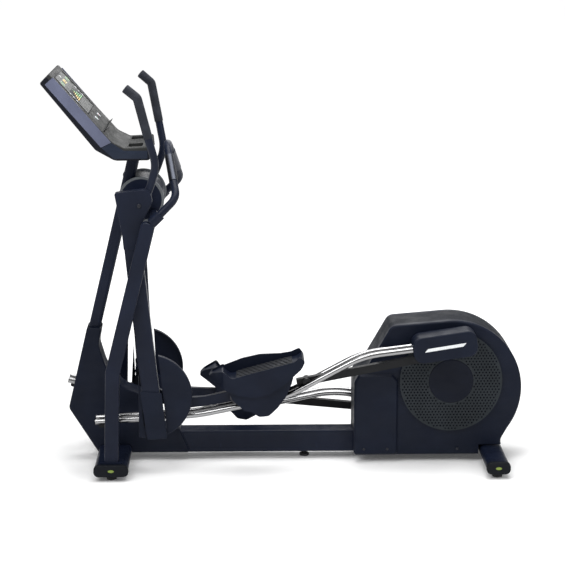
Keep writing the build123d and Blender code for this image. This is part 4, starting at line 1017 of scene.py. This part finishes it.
@dataclass
class Console:
    """The console's side panels, display frame, readouts, lamps and keys.

    Attributes:
        slope: The display's angle to the floor.
        glass: The display window's thickness.
        proud: How far the side panels stand out.
        rooted: How far their backs lie inside the cheeks.
        belly: How far forward of the tray's end the cheeks bend.
        belly_height: How high over the console's foot they bend.
        inset: The cheek left bare along the panels' rear edge.
        breadth: The upper panels' width.
        readout: How far down the window the readouts are, as a share.
        course: How far down it the course's middle is, as a share.
        ink: How thick the printed windows are.
    """

    slope: float = math.radians(48.1)
    glass: float = 0.003
    proud: float = 0.0015
    rooted: float = 0.0005
    belly: float = 0.218
    belly_height: float = 0.05
    inset: float = 0.011
    breadth: float = 0.047
    readout: float = 0.2
    course: float = 0.56
    ink: float = 0.0004

    def build(self) -> None:
        """Makes every console detail."""
        self.side_panels()
        self.display_frame()
        self.windows()
        self.readouts()
        self.profile_lamps()
        self.soft_keys()
        self.key_marks()

    @property
    def down(self) -> Vector:
        """The way down the display's slope."""
        return Vector((math.cos(self.slope), 0, -math.sin(self.slope)))

    @property
    def out(self) -> Vector:
        """The way straight out of the display."""
        return Vector((math.sin(self.slope), 0, math.cos(self.slope)))

    def on_display(self, across: float, share: float, above: float = 0.0) -> Matrix:
        """A placement on the display window.

        Args:
            across: How far to the user's right of its middle.
            share: How far down the window, from 0 at its top to 1 at its foot.
            above: How far over its surface.

        Returns:
            The placement, with Z out of the display and Y up it.
        """
        low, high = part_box("console_display")
        top = Vector((low.x + self.glass * self.out.x, 0, high.z))
        foot = Vector((high.x, 0, low.z + self.glass * self.out.z))
        at = top.lerp(foot, share) + self.out * above + Vector((0, across, 0))
        return facing(at, self.out, -self.down)

    def side_panels(self) -> None:
        """The pale panels on the console's two cheeks, split at the bend."""
        low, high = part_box("console_back")
        back_top = Vector((low.x, 0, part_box("console_face")[1].z - 0.036))
        bend = Vector((high.x - self.belly, 0, low.z + self.belly_height))
        run = (bend - back_top).normalized()
        rise = Vector((-run.z, 0, run.x))
        if rise.z < 0:
            rise = -rise
        head = back_top + run * 0.017
        near, far = rise * self.inset, rise * (self.inset + self.breadth)
        upper = [head + near, bend + near, bend + far + run * 0.012, head + far]
        gap = Vector((0.002, 0, -0.0014))
        foot, brow = low.z + 0.009, low.z + 0.044
        end = high.x - 0.012
        lower = [
            upper[1] + gap,
            Vector((bend.x + 0.062, 0, foot)),
            Vector((end, 0, foot)),
            Vector((end, 0, brow)),
            Vector((bend.x + 0.104, 0, brow)),
            upper[2] + gap,
        ]
        for side in Side:
            for name, ring in (("upper", upper), ("lower", lower)):
                at = Vector((0, side.value * (high.y - self.rooted), 0))
                flip = -side.value
                corners = [(flip * point.x, point.z) for point in ring]
                piece(
                    f"console_panel_{name}_{side.label}",
                    slab_mesh(corners, 0.003, self.proud + self.rooted, 0.0007),
                    sideways(at, side),
                    PANEL_PLASTIC if name == "upper" else SKIRT_PLASTIC,
                    "frame",
                )

    def display_frame(self) -> None:
        """A slim raised frame round the display window."""
        low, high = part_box("console_display")
        width = high.y - low.y
        length = (high - low).xz.length
        mesh = slab_mesh(box_corners(width + 0.008, length + 0.008), 0.006, 0.0012, 0.0004)
        hole = [item for item in mesh.faces if item.normal.z > 0.9]
        bmesh.ops.inset_region(mesh, faces=hole, thickness=0.0035, use_even_offset=True)
        inner = [item for item in mesh.faces if item.normal.z > 0.9]
        biggest = max(inner, key=lambda item: item.calc_area())
        bmesh.ops.delete(mesh, geom=[biggest], context="FACES_ONLY")
        under = [item for item in mesh.faces if item.normal.z < -0.9]
        bmesh.ops.delete(mesh, geom=under, context="FACES_ONLY")
        piece(
            "display_frame",
            mesh,
            self.on_display(0, 0.5, 0.0001),
            CAP_PLASTIC,
            "frame",
        )

    def windows(self) -> None:
        """The pale printed windows behind the readouts."""
        for index, (across, width) in enumerate(((-0.1, 0.07), (0.0, 0.09), (0.1, 0.07))):
            piece(
                f"readout_window_{index + 1}",
                slab_mesh(box_corners(width, 0.03), 0.003, self.ink, 0.0001),
                self.on_display(across, self.readout),
                PALE_PRINT,
                "frame",
            )
        piece(
            "profile_window",
            slab_mesh(box_corners(0.2, 0.062), 0.004, self.ink, 0.0001),
            self.on_display(0, self.course),
            CAP_PLASTIC,
            "frame",
        )

    def readouts(self) -> None:
        """The figures on the three readout windows."""
        for index, (across, figures) in enumerate(
            ((-0.1, (1, 2, 0)), (0.0, (0, 8, 3, 5)), (0.1, (2, 5, 0)))
        ):
            bars = []
            for place, figure in enumerate(figures):
                middle_x = (place - (len(figures) - 1) / 2) * 0.0165
                bars += [self.bar(lamp, middle_x) for lamp in FIGURES[figure]]
            piece(
                f"readout_figures_{index + 1}",
                join(bars),
                self.on_display(across, self.readout, self.ink),
                AMBER if index == 1 else GREEN,
                "frame",
            )

    @staticmethod
    def bar(lamp: Lamp, middle_x: float) -> bmesh.types.BMesh:
        """One lit bar of a figure."""
        x, y, level = lamp.value
        long, slim = 0.0078, 0.0018
        at = (middle_x + x * 0.0095, y * 0.009)
        size = (long, slim) if level else (slim, long)
        return slab_mesh(box_corners(*size, at), 0.0006, 0.0003, 0)

    def profile_lamps(self) -> None:
        """The columns of lamps that draw the course ahead."""
        heights = (1, 2, 3, 3, 4, 5, 4, 6, 5, 4, 3, 4, 2, 2, 1)
        centre = len(heights) // 2
        columns_done = 6
        done = []
        ahead = []
        for column, height in enumerate(heights):
            for row in range(height):
                at = ((column - centre) * 0.0122, -0.0235 + row * 0.0092)
                lamp = slab_mesh(box_corners(0.0075, 0.0048, at), 0.001, 0.0003, 0)
                (done if column < columns_done else ahead).append(lamp)
        for name, lamps, finish in (("done", done, AMBER), ("ahead", ahead, GREEN)):
            piece(
                f"course_lamps_{name}",
                join(lamps),
                self.on_display(0, self.course, self.ink),
                finish,
                "frame",
            )

    def soft_keys(self) -> None:
        """Two columns of pale membrane keys beside the course window."""
        keys = []
        for side in Side:
            for row in range(3):
                key = turned_mesh(
                    [(0, 0.0009), (0.0045, 0.0008), (0.0056, 0.0004), (0.006, 0)], 24
                )
                at = Matrix.Translation((side.value * 0.126, (row - 1) * 0.021, 0))
                bmesh.ops.transform(key, matrix=at, verts=key.verts[:])
                keys.append(key)
        piece(
            "membrane_keys",
            join(keys),
            self.on_display(0, self.course),
            LIGHT_PLASTIC,
            "frame",
        )
        foot = turned_mesh([(0, 0.0006), (0.006, 0.0005), (0.007, 0)], 24)
        piece(
            "sensor_window",
            foot,
            self.on_display(0, 0.06),
            WHITE_PRINT,
            "frame",
        )

    def key_marks(self) -> None:
        """A triangle on the start key and a square on the stop key."""
        triangle = [(-0.0032, -0.004), (0.0046, 0.0), (-0.0032, 0.004)]
        for name, corners, finish in (
            ("start", triangle, GO_PRINT),
            ("stop", box_corners(0.0072, 0.0072), HALT_PRINT),
        ):
            at = middle(f"{name}_key") + self.out * 0.00345
            piece(
                f"{name}_key_mark",
                slab_mesh(corners, 0.0007, 0.0003, 0),
                facing(at, self.out, -self.down),
                finish,
                f"{name}_key_body",
            )


@dataclass
class Fasteners:
    """Button-head screws with a hexagon socket.

    Attributes:
        radius: A head's radius.
        height: A head's height.
    """

    radius: float = 0.0075
    height: float = 0.004

    def build(self) -> None:
        """Makes the screws on both sides of the machine."""
        for side in Side:
            self.housing(side)
            self.pivot(side)

    def head(self, size: float = 1.0) -> bmesh.types.BMesh:
        """One screw head, with its socket sunk in.

        Args:
            size: How much larger than the usual head it is.

        Returns:
            The head's mesh, its foot at zero.
        """
        radius = self.radius * size
        height = self.height * size
        mesh = bmesh.new()
        bmesh.ops.create_circle(mesh, cap_ends=True, segments=24, radius=radius)
        lift(mesh, mesh.faces[:], height)
        bmesh.ops.recalc_face_normals(mesh, faces=mesh.faces[:])
        soften_top(mesh, height, height * 0.6, 4)
        top = [max(mesh.faces, key=lambda item: item.calc_center_median().z)]
        bmesh.ops.inset_region(mesh, faces=top, thickness=radius * 0.2)
        sunk = bmesh.ops.extrude_face_region(mesh, geom=top)["geom"]
        bmesh.ops.delete(mesh, geom=top, context="FACES_ONLY")
        low = [item for item in sunk if isinstance(item, bmesh.types.BMVert)]
        bmesh.ops.translate(mesh, verts=low, vec=(0, 0, -height * 0.45))
        return mesh

    def housing(self, side: Side) -> None:
        """The screws along a housing side shell's lower edge.

        Args:
            side: Which shell.
        """
        shell = f"housing_{side.label}"
        low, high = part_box(shell)
        for index, share in enumerate((0.06, 0.2, 0.62)):
            at = Vector((low.x + (high.x - low.x) * share, outer_face(shell, side), low.z + 0.03))
            piece(
                f"housing_screw_{side.label}_{index + 1}",
                self.head(0.8),
                sideways(at, side),
                BLACK_STEEL,
                "frame",
            )

    def pivot(self, side: Side) -> None:
        """The cap screw at the end of the swing arm's shaft.

        Args:
            side: Which arm.
        """
        spot = middle("pivot_axle")
        at = Vector((spot.x, outer_face(f"arm_{side.label}", side), spot.z))
        piece(
            f"pivot_screw_{side.label}",
            self.head(1.2),
            sideways(at, side),
            BLACK_STEEL,
            f"swing_arm_{side.label}",
        )


@dataclass
class Studio:
    """The pale floor, the soft lights and the camera.

    Attributes:
        floor_size: The floor's width.
        glow_near: How much the paper floor shines of itself under the machine.
        glow_far: How much it shines far away.
        surround: How strongly the white surround lights the machine.
        eye: The camera's place.
        lens: Its focal length.
        pitch: Its tilt up from straight down, in degrees.
        yaw: Its turn from square, in degrees.
    """

    floor_size: float = 120.0
    glow_near: float = 0.06
    glow_far: float = 0.7
    surround: float = 0.34
    eye: tuple[float, float, float] = (-0.1975, -8.0, 2.541)
    lens: float = 117.1
    pitch: float = 77.74
    yaw: float = -1.294

    def build(self) -> None:
        """Makes the floor, the sky, the lights and the camera."""
        self.floor()
        self.sky()
        self.light("key_light", (-2.6, -3.6, 5.0), 3.0, 170.0)
        self.light("fill_light", (3.6, -3.4, 3.0), 2.4, 60.0)
        self.light("top_light", (0.2, 0.2, 5.0), 3.6, 250.0)
        self.light("back_light", (0.5, 4.6, 3.2), 3.0, 60.0)
        self.camera()

    def floor(self) -> None:
        """A plain pale floor that isn't part of the machine."""
        mesh = bmesh.new()
        bmesh.ops.create_grid(mesh, x_segments=1, y_segments=1, size=self.floor_size / 2)
        data = bpy.data.meshes.new("studio_floor")
        mesh.to_mesh(data)
        mesh.free()
        graph = Graph("studio_paper")
        graph.set(
            Base_Color=(0.9, 0.9, 0.9, 1),
            Roughness=1.0,
            Specular_IOR_Level=0.0,
            Emission_Color=(1, 1, 1, 1),
        )
        glow = graph.ramp(graph.reach(), 1.3, 5.5, self.glow_near, self.glow_far)
        graph.drive("Emission Strength", glow)
        data.materials.append(graph.material)
        floor = bpy.data.objects.new("studio_floor", data)
        bpy.context.scene.collection.objects.link(floor)
        floor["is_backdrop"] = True

    def sky(self) -> None:
        """An even white surround."""
        world = bpy.data.worlds.new("studio_surround")
        world.use_nodes = True
        back = world.node_tree.nodes["Background"]
        back.inputs["Color"].default_value = (1, 1, 1, 1)
        path = world.node_tree.nodes.new("ShaderNodeLightPath")
        seen = world.node_tree.nodes.new("ShaderNodeMapRange")
        world.node_tree.links.new(path.outputs["Is Camera Ray"], seen.inputs["Value"])
        seen.inputs["To Min"].default_value = self.surround
        seen.inputs["To Max"].default_value = 1.0
        world.node_tree.links.new(seen.outputs["Result"], back.inputs["Strength"])
        bpy.context.scene.world = world
        bpy.context.scene.view_settings.view_transform = "Standard"

    def light(self, name: str, at: tuple[float, float, float], size: float, power: float) -> None:
        """Adds a soft square light that looks at the machine's middle.

        Args:
            name: Its name.
            at: Where it hangs.
            size: Its width.
            power: Its power in watts.
        """
        data = bpy.data.lights.new(name, "AREA")
        data.size = size
        data.energy = power
        lamp = bpy.data.objects.new(name, data)
        lamp.location = at
        aim = Vector((0, 0, 0.7)) - Vector(at)
        lamp.rotation_euler = aim.to_track_quat("-Z", "Y").to_euler()
        bpy.context.scene.collection.objects.link(lamp)

    def camera(self) -> None:
        """The camera, nearly level with the handles and square to the machine's side."""
        data = bpy.data.cameras.new("studio_camera")
        data.lens = self.lens
        data.sensor_width = 36.0
        data.clip_end = 400.0
        camera = bpy.data.objects.new("studio_camera", data)
        camera.location = self.eye
        camera.rotation_euler = (math.radians(self.pitch), 0, math.radians(self.yaw))
        bpy.context.scene.collection.objects.link(camera)
        bpy.context.scene.camera = camera


@dataclass
class FrameFinishes:
    """The finishes of the frame's own parts."""

    def build(self) -> None:
        """Dresses every frame node."""
        for row in frame["record"]["subparts"]:
            node = frame["nodes"][row["node"]]
            finish = NODE_FINISHES.get(row["node"], SLOT_FINISHES[row["material_slot"]])
            material = finish.make()
            if not node.material_slots:
                node.data.materials.append(material)
            for place in node.material_slots:
                place.material = material
            log.info("%s: %s", row["node"], finish.name)


def main(cad_box: tuple) -> None:
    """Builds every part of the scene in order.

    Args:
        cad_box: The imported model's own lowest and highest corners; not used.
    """
    logging.basicConfig(level=logging.INFO, format="%(name)s %(message)s")
    for part in (
        Studio(),
        FrameFinishes(),
        GuardRings(),
        CapBadges(),
        CrankCoverInlay(),
        Console(),
        Fasteners(),
    ):
        log.info("building %s", type(part).__name__)
        part.build()


if __name__ == "__main__":
    main(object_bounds())
